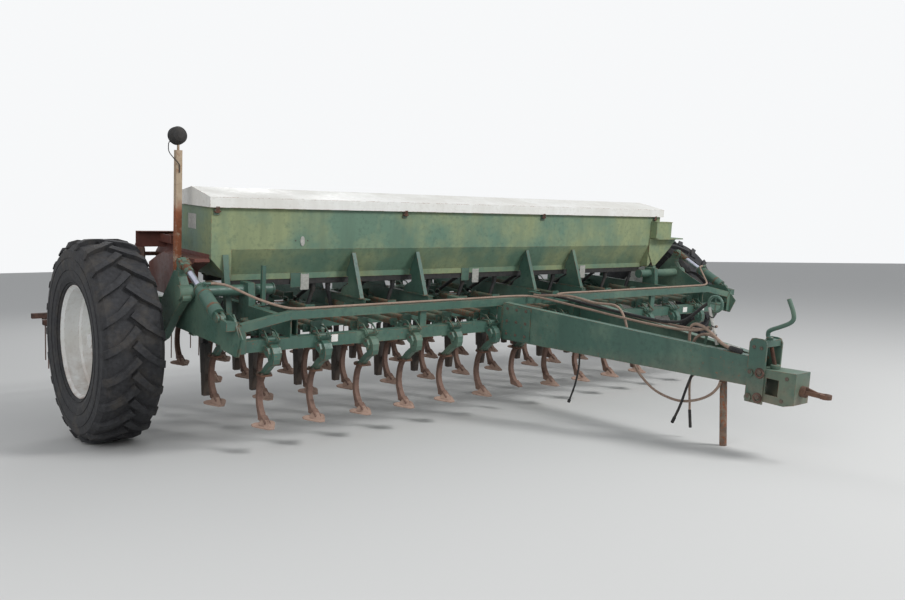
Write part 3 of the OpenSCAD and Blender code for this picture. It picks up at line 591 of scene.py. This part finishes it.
# %% The lead on the hoop and the ribbed lead
HOOP_LEAD = ((0.040, -0.850, 1.180), (0.040, -0.895, 1.1805), (0.040, -0.980, 1.183),
             (0.036, -1.200, 1.178), (0.032, -1.550, 1.160), (0.030, -1.900, 1.148),
             (0.030, -2.150, 1.142), (0.030, -2.300, 1.146), (0.030, -2.430, 1.166),
             (0.028, -2.520, 1.214), (0.024, -2.590, 1.275), (0.018, -2.655, 1.330),
             (0.016, -2.705, 1.360))
hoop_lead, line = hose_along("hoop_lead", HOOP_LEAD, black_rubber)

RIBBED_LEAD = ((-0.320, -1.700, 0.804), (-0.320, -1.704, 0.750), (-0.320, -1.703, 0.690),
               (-0.320, -1.694, 0.620), (-0.320, -1.678, 0.544), (-0.320, -1.652, 0.460),
               (-0.320, -1.620, 0.375))
ribbed_lead, line = hose_along("ribbed_lead", RIBBED_LEAD, black_rubber,
                               ribbed=True)
ribbed_cap = hose_end("ribbed_lead_end", line[-6], line[-1] + (line[-1] - line[-10]) * 0.8,
                      0.014)

# %% [markdown]
# ## The CAD nodes
# Sheets, bars, tyres and rims already have their right shape, so remaking them would only
# lose precision. They keep their mesh and get a finish: the one named for their slot, or a
# special one where the real part has aged in its own way.

# %% Finishes on the CAD nodes
finishes = {
    "green_paint": green_paint, "white_paint": white_paint, "cream_paint": cream_paint,
    "maroon_paint": maroon_paint, "rusty_steel": rusty_steel, "earthy_steel": earthy_steel,
    "black_steel": black_steel, "tyre_rubber": tyre_rubber, "black_rubber": black_rubber,
    "hose_rubber": hose_rubber, "black_plastic": black_plastic, "bright_rod": bright_rod}
special = {"hopper_shell": hopper_paint, "right_end_box": hopper_paint, "mast": mast_paint,
           "seed_meters": black_steel, "stand": stand_steel, "harrow": shank_steel}
slot_of = {part["node"]: part["material_slot"] for part in frame["record"]["subparts"]}
for name, piece in nodes.items():
    piece.data.materials.clear()
    piece.data.materials.append(special.get(name, finishes[slot_of[name]]))
print("Nodes finished:", len(nodes))

# %% [markdown]
# ## How the added pieces are made
# Each added piece is modelled on the level machine in metres, from a primitive that is shaped
# in edit mode. What repeats is modelled once, copied with its own mesh, turned to its place
# and joined. The last step leans the mesh with the parked machine and names its body. Placed
# on the leaning machine at once, every number would be harder to read.

# %% Helpers for the added pieces
LEVEL = (Matrix.Translation((0, SHIFT_Y, TYRE_RADIUS)) @ Matrix.Rotation(LEAN, 4, "X")
         @ Matrix.Translation((0, -AXLE_Y, -AXLE_Z)))
SIDEWAYS = Matrix(((0, 0, 1, 0), (1, 0, 0, 0), (0, 1, 0, 0), (0, 0, 0, 1)))
UPRIGHT = Matrix.Rotation(math.pi / 2, 4, "X")


def tidy_normals(piece):
    only(piece)
    bpy.ops.object.mode_set(mode="EDIT")
    bpy.ops.mesh.select_all(action="SELECT")
    bpy.ops.mesh.normals_make_consistent(inside=False)
    bpy.ops.object.mode_set(mode="OBJECT")


def joined(*parts):
    only(*parts)
    if len(parts) > 1:
        bpy.ops.object.join()
    return bpy.context.view_layer.objects.active


def copies(pattern, places):
    made = []
    for place in places:
        twin = pattern.copy()
        twin.data = pattern.data.copy()
        scene.collection.objects.link(twin)
        twin.data.transform(place)
        made.append(twin)
    bpy.data.objects.remove(pattern)
    return joined(*made)


def turned_to(place, facing, size=1.0):
    turn_to = Vector(facing).to_track_quat("Z", "X").to_matrix().to_4x4()
    return Matrix.Translation(place) @ turn_to @ Matrix.Scale(size, 4)


def hand_over(piece, name, finish, smooth=None, body="frame"):
    only(piece)
    bpy.ops.object.transform_apply(location=True, rotation=True, scale=True)
    piece.data.transform(LEVEL)
    piece.name = name
    if smooth is not None:
        bpy.ops.object.shade_smooth_by_angle(angle=math.radians(smooth))
    print(name, len(piece.data.polygons), "faces")
    return dressed(piece, finish, body)


# %% [markdown]
# Most of these pieces are cut from plate. So one helper takes an outline, makes it a face,
# pulls it up to its thickness and breaks its edges with a small bevel. Two more give the
# outline itself: a smoothed one through a few points, and a round or oval one.

# %% Plates from outlines
def flat_plate(outline, thick, bevel=0.0):
    piece = added(bpy.ops.mesh.primitive_circle_add, vertices=len(outline), fill_type="NGON")
    for vertex, point in zip(piece.data.vertices, outline):
        vertex.co = (point[0], point[1], 0.0)
    bpy.ops.object.mode_set(mode="EDIT")
    bpy.ops.mesh.select_all(action="SELECT")
    bpy.ops.mesh.extrude_region_move(TRANSFORM_OT_translate={"value": (0, 0, thick)})
    bpy.ops.mesh.select_all(action="SELECT")
    if bevel > 0:
        bpy.ops.mesh.bevel(offset=bevel, segments=1, affect="EDGES")
    bpy.ops.mesh.normals_make_consistent(inside=False)
    bpy.ops.object.mode_set(mode="OBJECT")
    return piece


def rounded(outline, parts):
    count = len(outline)
    points = []
    for i in range(count):
        around = [Vector(outline[(i + k) % count]) for k in (-1, 0, 1, 2)]
        points.extend(eased(*around, j / parts) for j in range(parts))
    return points


def oval_outline(half_width, half_height, step):
    turns = [math.radians(angle) for angle in range(0, 360, step)]
    return [(half_width * math.cos(turn), half_height * math.sin(turn)) for turn in turns]


def oblong(half_width, half_height):
    return ((-half_width, -half_height), (half_width, -half_height),
            (half_width, half_height), (-half_width, half_height))


# %% [markdown]
# ## Fasteners
# The bolts are plain hexagon heads on washers. A thread is never seen, so one head is
# modelled with a few dozen faces: a six-sided cylinder whose top edges are bevelled, and a
# thin round washer below. It is copied for every bolt of the machine.

# %% One hexagon bolt head with its washer
def bolt_head():
    head = added(bpy.ops.mesh.primitive_cylinder_add, vertices=6, radius=0.012, depth=0.012,
                 location=(0, 0, 0.009))
    edit_faces(head, lambda face: face.normal.z > 0.9)
    bpy.ops.mesh.bevel(offset=0.0018, segments=1, affect="EDGES")
    bpy.ops.object.mode_set(mode="OBJECT")
    washer = added(bpy.ops.mesh.primitive_cylinder_add, vertices=14, radius=0.0165,
                   depth=0.004, location=(0, 0, 0.0015))
    return joined(head, washer)


def bolted(name, places, body="frame"):
    return hand_over(copies(bolt_head(), places), name, bolt_steel, 30, body)


# %% [markdown]
# ## Tines
# Each tine is a heavy sickle of spring steel with a small arrow-shaped sweep on its foot. A
# bent bar would keep one thickness, but the real sickle swells at its foot. So the sickle is
# a smoothed outline, made thick and bevelled. The sweep is an arrow outline whose wings are
# pressed down, with a crown on top. One at the front is missing, as on the real machine.

# %% Where the tines stand
BAR_Y = -0.825
BAR_Z = 0.917
BAR_PITCH = 0.780
TINE_PITCH = 0.435
TINES_IN_ROW = 13
ROW_START = (-2.770, -2.810, -2.600, -2.910)
# how far single tines stand aside for a beam, by row and number
ASIDE = {(1, 3): -0.040, (1, 8): 0.087, (2, 0): 0.115, (2, 9): -0.040, (2, 12): -0.135,
         (3, 5): 0.090, (3, 10): 0.025}
MISSING_SWEEP = (0, 6)


def row_tines(*rows):
    return [(row, number) for row in rows for number in range(TINES_IN_ROW)]


def tine_place(row, number):
    x = ROW_START[row] + number * TINE_PITCH + ASIDE.get((row, number), 0.0)
    return Vector((x, BAR_Y + row * BAR_PITCH, BAR_Z))


def at_tines(tines, step=(0, 0, 0)):
    return [Matrix.Translation(tine_place(*tine) + Vector(step)) for tine in tines]


EVERY_TINE = row_tines(0, 1, 2, 3)
FRONT_AND_REAR = {"front": row_tines(0, 1), "rear": row_tines(2, 3)}
print("Tines:", len(EVERY_TINE))

# %% Sickle shanks and their sweeps
SICKLE = ((0.056, -0.250), (0.086, -0.300), (0.102, -0.365), (0.106, -0.430), (0.094, -0.485),
          (0.064, -0.535), (0.034, -0.575), (0.040, -0.602), (0.088, -0.600), (0.106, -0.556),
          (0.130, -0.500), (0.140, -0.438), (0.134, -0.365), (0.118, -0.298), (0.090, -0.250))
FOOT = ((-0.030, -0.598), (0.030, -0.556), (0.088, -0.562), (0.096, -0.600), (-0.026, -0.612))
HALF_SWEEP = ((0.0, -0.104), (0.024, -0.094), (0.048, -0.052), (0.076, -0.006),
              (0.096, 0.034), (0.092, 0.056), (0.066, 0.056), (0.034, 0.036), (0.0, 0.026))
HALF_CROWN = ((0.0, -0.086), (0.040, -0.010), (0.052, 0.034), (0.0, 0.052))
CROWN_TOP = 0.42
CROWN_MIDDLE = 0.022
SHANK_WIDTH = 0.044
FOOT_WIDTH = 0.050
SWEEP_DROP = -0.598
SWEEP_TILT = math.radians(13)


def both_halves(half):
    return (*half, *((-x, y) for x, y in reversed(half[1:-1])))


def sickle_shank():
    sickle = flat_plate(rounded(SICKLE, 2), SHANK_WIDTH, 0.003)
    sickle.data.transform(Matrix.Translation((-SHANK_WIDTH / 2, 0, 0)) @ SIDEWAYS)
    foot = flat_plate(FOOT, FOOT_WIDTH, 0.004)
    foot.data.transform(Matrix.Translation((-FOOT_WIDTH / 2, 0, 0)) @ SIDEWAYS)
    return joined(sickle, foot)


def arrow_sweep():
    sweep = flat_plate(both_halves(HALF_SWEEP), 0.012, 0.002)
    for vertex in sweep.data.vertices:
        vertex.co.z -= 0.012 + 0.34 * abs(vertex.co.x)
    crown = flat_plate(rounded(both_halves(HALF_CROWN), 2), 0.034)
    for vertex in crown.data.vertices:
        if vertex.co.z > 0.01:
            vertex.co.x *= CROWN_TOP
            vertex.co.y = CROWN_MIDDLE + CROWN_TOP * (vertex.co.y - CROWN_MIDDLE)
        vertex.co.z -= 0.012 + 0.2 * abs(vertex.co.x)
    sweep = joined(sweep, crown)
    sweep.data.transform(Matrix.Translation((0, 0, SWEEP_DROP))
                         @ Matrix.Rotation(SWEEP_TILT, 4, "X"))
    return sweep


for end, tines in FRONT_AND_REAR.items():
    node = "shanks_" + end
    shanks = copies(sickle_shank(), at_tines(tines))
    hand_over(shanks, node + "_sickles", shank_steel, 40)
    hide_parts(node)
    sweeps = copies(arrow_sweep(), at_tines([t for t in tines if t != MISSING_SWEEP]))
    hand_over(sweeps, node + "_sweeps", earthy_steel, 30)
    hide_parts(node)

# %% [markdown]
# Behind each head lies the long coil spring that lets a tine trip back over a stone. Shorter
# ways would be a bump or a striped paint, but from the side each turn of the wire shows. So
# a five-sided ring of wire is wound along the spring's axis by a Screw modifier, round the
# packed core. Wound once and without a rise, the same wire gives a closed ring.

# %% Coil springs
SPRING_RADIUS = 0.0235
WIRE_RADIUS = 0.0048
STEPS_IN_A_TURN = 8


def wound(wire_radius, corners, radius, steps, turns=1, rise=0.0, phase=0.0):
    winding = added(bpy.ops.mesh.primitive_circle_add, vertices=corners, radius=wire_radius,
                    location=(radius, 0, 0), rotation=(math.pi / 2, phase, 0))
    bpy.ops.object.transform_apply(location=True, rotation=True, scale=True)
    screw = winding.modifiers.new("turns", "SCREW")
    screw.axis = "Z"
    screw.screw_offset = rise
    screw.iterations = turns
    screw.steps = steps
    screw.render_steps = steps
    screw.use_merge_vertices = rise == 0.0
    screw.merge_threshold = 0.0001
    bpy.ops.object.modifier_apply(modifier="turns")
    return winding


def coil(length, radius, wire_radius, pitch):
    turns = round(length / pitch)
    spring = wound(wire_radius, 5, radius, STEPS_IN_A_TURN, turns, length / turns)
    bpy.ops.object.mode_set(mode="EDIT")
    bpy.ops.mesh.select_all(action="DESELECT")
    bpy.ops.mesh.select_non_manifold()
    bpy.ops.mesh.fill_holes(sides=0)
    bpy.ops.object.mode_set(mode="OBJECT")
    tidy_normals(spring)
    spring.data.transform(Matrix.Rotation(-math.pi / 2, 4, "X"))
    return spring


def ring(radius, wire_radius, steps, corners, place):
    hoop = wound(wire_radius, corners, radius, steps, phase=math.pi / 2)
    tidy_normals(hoop)
    hoop.data.transform(place)
    return hoop


for end, tines in FRONT_AND_REAR.items():
    springs = copies(coil(0.334, SPRING_RADIUS, WIRE_RADIUS, 0.0125),
                     at_tines(tines, (0, 0.062, 0.105)))
    hand_over(springs, "trip_springs_" + end, spring_paint, 60)

# the ninth spring ahead of the second row stands on the other side of its head
OTHER_SIDE = 8
fore = [Matrix.Translation(tine_place(1, k) + Vector((0.026 if k == OTHER_SIDE else -0.026,
                                                      -0.686, 0.083)))
        for k in range(TINES_IN_ROW)]
fore_springs = copies(coil(0.610, SPRING_RADIUS, WIRE_RADIUS, 0.0135), fore)
hand_over(fore_springs, "fore_springs", spring_paint, 60)

# %% [markdown]
# Each tine head is clamped to its bar by bolts: two down through the top plate, and one
# through each cheek below the bar's front. Under the end of each green arm a flat clamp plate
# grips the shank. It has lost its paint, so it could be painted rusty on the arm, but as a
# piece of its own it has a clean edge: a bevelled plate with two bolts at each end.

# %% Bolts of the tine clamps
TOP_BOLT = (0.027, 0.034, 0.057)
CHEEK_BOLT = (0.055, -0.082, -0.034)
clamp_bolts = []
for tine in EVERY_TINE:
    for s in (-1, 1):
        for (x, y, z), facing in ((TOP_BOLT, (0, 0, 1)), (CHEEK_BOLT, (s, 0, 0))):
            clamp_bolts.append(turned_to(tine_place(*tine) + Vector((s * x, y, z)), facing))
bolted("clamp_bolts", clamp_bolts)

# %% Clamp plates on the shanks
CLAMP = ((-0.043, 0.000), (0.043, 0.000), (0.048, 0.012), (0.048, 0.088), (0.043, 0.100),
         (-0.043, 0.100), (-0.048, 0.088), (-0.048, 0.012))
CLAMP_DROP = -0.2515
clamps = copies(flat_plate(CLAMP, 0.0145, 0.002), at_tines(EVERY_TINE, (0, 0, CLAMP_DROP)))
hand_over(clamps, "clamp_plates", rusty_steel, 30)
bolted("clamp_plate_bolts",
       [turned_to(tine_place(*tine) + Vector((s * 0.033, y, -0.237)), (0, 0, 1), 0.9)
        for tine in EVERY_TINE for s in (-1, 1) for y in (0.018, 0.082)])

# %% [markdown]
# ## Plates on the hopper
# All plates are blank. Three pale ones with a screw in each corner hang below the hopper's
# lower edge, and three small ones are stuck on the front tool bar. An oval one sits between
# two bolts on the hopper's front, and a grey one on its left end. Painted on, they would
# have no edge to catch the light, so each is a thin bevelled plate.

# %% Hanging plates and the stickers on the bar
CORNERS = ((-0.8, 0.86), (0.8, 0.86), (-0.8, -0.86), (0.8, -0.86))


def upright_plate(name, place, width, height, finish, screws=(), thick=0.003):
    x, y, z = place
    half = width / 2
    tall = height / 2
    cut = min(half, tall) * 0.12
    outline = ((-half + cut, -tall), (half - cut, -tall), (half, -tall + cut),
               (half, tall - cut), (half - cut, tall), (-half + cut, tall),
               (-half, tall - cut), (-half, -tall + cut))
    sheet = flat_plate(outline, thick, 0.0006)
    sheet.data.transform(Matrix.Translation(place) @ UPRIGHT)
    parts = [sheet]
    if screws:
        spots = [turned_to((x + u * half, y - thick, z + v * tall), (0, -1, 0), 0.35)
                 for u, v in screws]
        parts.append(copies(bolt_head(), spots))
    return hand_over(joined(*parts), name, finish, 30)


for number, x in enumerate((-1.929, 0.053, 1.654), 1):
    upright_plate("hanging_plate_" + str(number), (x, 0.1339, 1.240), 0.086, 0.140,
                  bare_plate, CORNERS)
STICKERS = ((-2.222, 0.931, 0.062, 0.060, white_paint),
            (2.250, 0.918, 0.075, 0.055, white_paint),
            (2.570, 0.915, 0.060, 0.048, cream_paint))
for number, (x, z, width, height, finish) in enumerate(STICKERS, 1):
    upright_plate("bar_sticker_" + str(number), (x, -0.8702, z), width, height, finish,
                  thick=0.0008)

# %% The oval plate and the plate on the left end
oval = flat_plate(oval_outline(0.022, 0.043, 15), 0.007, 0.002)
oval.data.transform(Matrix.Translation((-2.020, 0.0302, 1.608)) @ UPRIGHT)
hand_over(oval, "front_oval", bare_plate, 40)
bolted("front_oval_bolts",
       [turned_to((x, 0.030, 1.603), (0, -1, 0), 0.5) for x in (-2.085, -1.968)])

end_plate = flat_plate(oblong(0.079, 0.062), 0.002, 0.0005)
end_plate.data.transform(Matrix.Translation((-2.8485, 0.410, 1.749)) @ SIDEWAYS
                         @ Matrix.Scale(-1, 4, (0, 0, 1)))
tidy_normals(end_plate)
hand_over(end_plate, "left_end_plate", bare_plate, 30)

# %% [markdown]
# Four rusty catches hold the lid down along the front. Each is a small bent strap over a
# block with its pin. A plain block would look right only from afar, so the strap's outline is
# made thick, and a bevelled pin is set through it.

# %% Lid catches
CATCH = ((0.000, 0.000), (0.012, 0.000), (0.016, 0.030), (0.010, 0.052), (-0.004, 0.052),
         (0.002, 0.030))
CATCH_WIDTH = 0.034
catches = []
for x in (-2.808, -0.946, 0.861, 2.734):
    strap = flat_plate(CATCH, CATCH_WIDTH, 0.0015)
    strap.data.transform(Matrix.Translation((x - CATCH_WIDTH / 2, 0.002, 1.838)) @ SIDEWAYS)
    pin = added(bpy.ops.mesh.primitive_cylinder_add, vertices=10, radius=0.006, depth=0.062,
                rotation=(0, math.pi / 2, 0), location=(x, 0.010, 1.850))
    bpy.ops.object.mode_set(mode="EDIT")
    bpy.ops.mesh.bevel(offset=0.001, segments=1, affect="EDGES")
    bpy.ops.object.mode_set(mode="OBJECT")
    catches.extend((strap, pin))
hand_over(joined(*catches), "lid_catches", rusty_steel, 30)

# %% [markdown]
# ## Hitch screw and its crank
# The screw that levels the hitch stands between the hitch plates. Its crank is one bent
# round bar. An extruded circle would need a turn at each bend, so a round curve through the
# bends is made a mesh. The screw is a straight bar with the spring's winding as its thread.

# %% The crank and the screw
CRANK = ((0, -3.236, 1.166), (0, -3.226, 1.195), (0, -3.230, 1.222), (0, -3.258, 1.242),
         (0, -3.310, 1.266), (0, -3.372, 1.298), (0, -3.402, 1.322), (0, -3.412, 1.352),
         (0, -3.398, 1.402), (0, -3.360, 1.478))
SCREW_START = Vector((0, -3.308, 0.968))
SCREW_END = Vector((0, -3.262, 1.1136))
SCREW_RADIUS = 0.0125


def bent_bar(points, radius, parts=5):
    only(round_curve("bent_bar", smooth_line(points, parts), radius))
    bpy.ops.object.convert(target="MESH")
    return bpy.context.object


crank = hand_over(bent_bar(CRANK, 0.016), "hitch_crank", green_paint, 60)
screw_line = SCREW_END - SCREW_START
thread = coil(screw_line.length, SCREW_RADIUS, 0.0035, 0.008)
thread.data.transform(Matrix.Rotation(math.pi / 2, 4, "X"))
thread.data.transform(turned_to(SCREW_START, screw_line))
core = bent_bar((SCREW_START, SCREW_END), SCREW_RADIUS, 1)
hitch_screw = hand_over(joined(thread, core), "hitch_screw_thread", rusty_steel,
                        60)

# %% The screw's nut block and collar, and the big washers
nut_block = flat_plate(rounded(oblong(0.030, 0.025), 3), 0.028, 0.003)
nut_block.data.transform(Matrix.Translation((0, -3.310, 0.962)))
collar = flat_plate(oval_outline(0.026, 0.026, 30), 0.018, 0.003)
collar.data.transform(Matrix.Translation((0, -3.243, 1.1652)))
blocks = hand_over(joined(nut_block, collar), "hitch_screw_blocks", green_paint,
                   30)
for piece in (crank, hitch_screw, blocks):
    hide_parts("hitch_screw")

HITCH_PINS = ((-3.252, 0.925), (-3.252, 0.742))
ACROSS = Matrix.Rotation(math.pi / 2, 4, "Y")
washers = [ring(0.030, 0.010, 20, 6, Matrix.Translation((s * 0.108, y, z)) @ ACROSS)
           for s in (-1, 1) for y, z in HITCH_PINS]
hand_over(joined(*washers), "hitch_washers", shank_steel, 60)

# %% [markdown]
# ## Wheels
# Ten nuts hold each wheel disc to its hub, and each tyre wall carries raised rings. The nuts
# are the same bolt head made larger. The rings could be a bump, but their line is seen
# against the light, so they are slim closed windings sunk half into the wall.

# %% Wheel nuts and the rings of the tyre walls
WHEEL_X = 3.545
NUTS = 10
NUT_CIRCLE = 0.122
NUT_DEPTH = 0.028
TYRE_RINGS = ((0.478, 0.221), (0.575, 0.2362), (0.668, 0.2378))
for s, side in ((-1, "left"), (1, "right")):
    hub = Vector((s * WHEEL_X, AXLE_Y, AXLE_Z))
    nuts = []
    for i in range(NUTS):
        angle = math.radians(360 / NUTS * i)
        nut = Vector((-s * NUT_DEPTH, NUT_CIRCLE * math.cos(angle),
                      NUT_CIRCLE * math.sin(angle)))
        nuts.append(turned_to(hub + nut, (s, 0, 0), 1.35))
    bolted("wheel_nuts_" + side, nuts, "wheel_" + side)
    rings = [ring(radius, 0.0045, 72, 6,
                  Matrix.Translation(hub + Vector((face * out, 0, 0))) @ ACROSS)
             for radius, out in TYRE_RINGS for face in (-1, 1)]
    hand_over(joined(*rings), "tyre_rings_" + side, tyre_rubber, 60,
              "wheel_" + side)

# %% [markdown]
# ## Fittings of the rams
# Each ram has two clamp bands round its barrel and a rusty seal where the rod comes out.
# They ride with the barrel. A scaled cylinder would have sharp edges, so each is a round
# outline made thick, bevelled and turned along the ram.

# %% Bands and seals on the ram barrels
RAM_X = 3.120
BAND_RADIUS = 0.0545
SEAL_RADIUS = 0.034


def ram_band(radius, thick, start, side_x):
    band = flat_plate(oval_outline(radius, radius, 12), thick, 0.0015)
    along_it = Vector((0, math.cos(RAM_RISE), math.sin(RAM_RISE)))
    band.data.transform(turned_to(Vector((side_x, *RAM_FOOT)) + along_it * start, along_it))
    return band


for s, side in ((-1, "left"), (1, "right")):
    bands = joined(ram_band(BAND_RADIUS, 0.022, 0.118, s * RAM_X),
                   ram_band(BAND_RADIUS, 0.012, 0.300, s * RAM_X))
    hand_over(bands, "ram_bands_" + side, spring_paint, 40, "barrel_" + side)
    seal = ram_band(SEAL_RADIUS, 0.016, 0.3925, s * RAM_X)
    hand_over(seal, "ram_seal_" + side, rusty_steel, 40, "barrel_" + side)

# %% [markdown]
# ## Drawbar
# The two beams of the A-frame are bolted to the front tool bar through doubler plates, and
# the hitch plates are bolted to the beams' noses. The bolts are set along the beam's own
# line and mirrored by their places, so each keeps its right shape.

# %% Bolts of the drawbar and the hitch
BEAM_START = Vector((-0.508, -0.930, 0.0))
BEAM_TURN = math.radians(-79.1)
DOUBLER_PROUD = 0.0085
along_beam = Vector((math.cos(BEAM_TURN), math.sin(BEAM_TURN), 0.0))
outward = Vector((math.sin(BEAM_TURN), -math.cos(BEAM_TURN), 0.0))
# how far out, place along, height and size of the bolts on each side of the hitch
HITCH_BOLTS = ((0.124, -3.18, 0.915, 1.2), (0.124, -3.18, 0.735, 1.2),
               (0.112, -3.252, 0.925, 1.7), (0.112, -3.252, 0.742, 1.7),
               (0.094, -3.461, 0.915, 1.25), (0.094, -3.434, 0.748, 1.25),
               (0.108, -3.25, 1.10, 1.2), (0.108, -3.19, 1.10, 1.2))
beam_bolts = []
for s in (1, -1):
    facing = Vector((outward.x * s, outward.y, 0))
    for distance in (0.05, 0.15, 0.25):
        spot = BEAM_START + along_beam * distance + outward * DOUBLER_PROUD
        for z in (0.855, 0.970, 1.080):
            beam_bolts.append(turned_to((spot.x * s, spot.y, z), facing, 1.2))
    for x, y, z, size in HITCH_BOLTS:
        beam_bolts.append(turned_to((s * x, y, z), (s, 0, 0), size))
bolted("drawbar_bolts", beam_bolts)

# %% [markdown]
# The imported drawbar's two cross members stand a little proud of the beams, where the real
# ones end at the web. Remade beams would have to match every hole, so the drawbar is a copy
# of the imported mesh. Its doubles are merged, and a boolean takes a thin block off outside
# each web.

# %% Drawbar trimmed to its webs
TRIM_FROM = 1.55
TRIM_TO = 2.17
TRIM_BOTTOM = 0.828
TRIM_HEIGHT = 0.175
TRIM_OUT = -0.060
WEB_FACE = -0.0004


def trim_block(s):
    block = flat_plate(((TRIM_FROM, TRIM_OUT), (TRIM_TO, TRIM_OUT), (TRIM_TO, WEB_FACE),
                        (TRIM_FROM, WEB_FACE)), TRIM_HEIGHT)
    web = Matrix.Translation(BEAM_START) @ Matrix.Rotation(BEAM_TURN, 4, "Z")
    block.data.transform(web @ Matrix.Translation((0, 0, TRIM_BOTTOM)))
    if s < 0:
        block.data.transform(Matrix.Scale(-1, 4, (1, 0, 0)))
        tidy_normals(block)
    return block


def trimmed_drawbar():
    beams = nodes["drawbar"].copy()
    beams.data = nodes["drawbar"].data.copy()
    scene.collection.objects.link(beams)
    beams.parent = None
    beams.matrix_world = Matrix.Identity(4)
    beams.data.transform(LEVEL.inverted())
    only(beams)
    bpy.ops.object.mode_set(mode="EDIT")
    bpy.ops.mesh.select_all(action="SELECT")
    bpy.ops.mesh.remove_doubles(threshold=0.00001)
    bpy.ops.mesh.normals_make_consistent(inside=False)
    bpy.ops.object.mode_set(mode="OBJECT")
    for s in (1, -1):
        block = trim_block(s)
        cut = beams.modifiers.new("trim", "BOOLEAN")
        cut.operation = "DIFFERENCE"
        cut.object = block
        only(beams)
        bpy.ops.object.modifier_apply(modifier="trim")
        bpy.data.objects.remove(block)
    return beams


beams = hand_over(trimmed_drawbar(), "drawbar_beams", green_paint)
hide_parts("drawbar")

# %% [markdown]
# A pale grey pole leans at the hoop and carries the hoses there, bound with black ties. The
# hoop is a thick rolled bar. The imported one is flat, so a closed winding, a little wider than
# high, lies over it.

# %% Hoop, pole and ties
HOOP = Vector((0, -2.762, 1.357))
HOOP_WIDER = 1.25
POLE = ((-0.035, -2.735, 1.330), (-0.040, -2.775, 1.220), (-0.046, -2.815, 1.120),
        (-0.050, -2.840, 1.056))
TIE_TILT = math.radians(22)
hand_over(bent_bar(POLE, 0.0125), "hoop_pole", bare_plate, 60)
wider = Matrix.Translation(HOOP) @ Matrix.Diagonal((HOOP_WIDER, 1, 1, 1)) @ ACROSS
hand_over(ring(0.0595, 0.0105, 40, 10, wider), "hoop_ring", green_paint, 60)
ties = []
for share in (0.25, 0.5, 0.72):
    place = Vector(POLE[0]).lerp(Vector(POLE[-1]), share)
    ties.append(ring(0.0145, 0.0045, 16, 6,
                     Matrix.Translation(place) @ Matrix.Rotation(TIE_TILT, 4, "X")))
hand_over(joined(*ties), "pole_ties", black_plastic, 60)
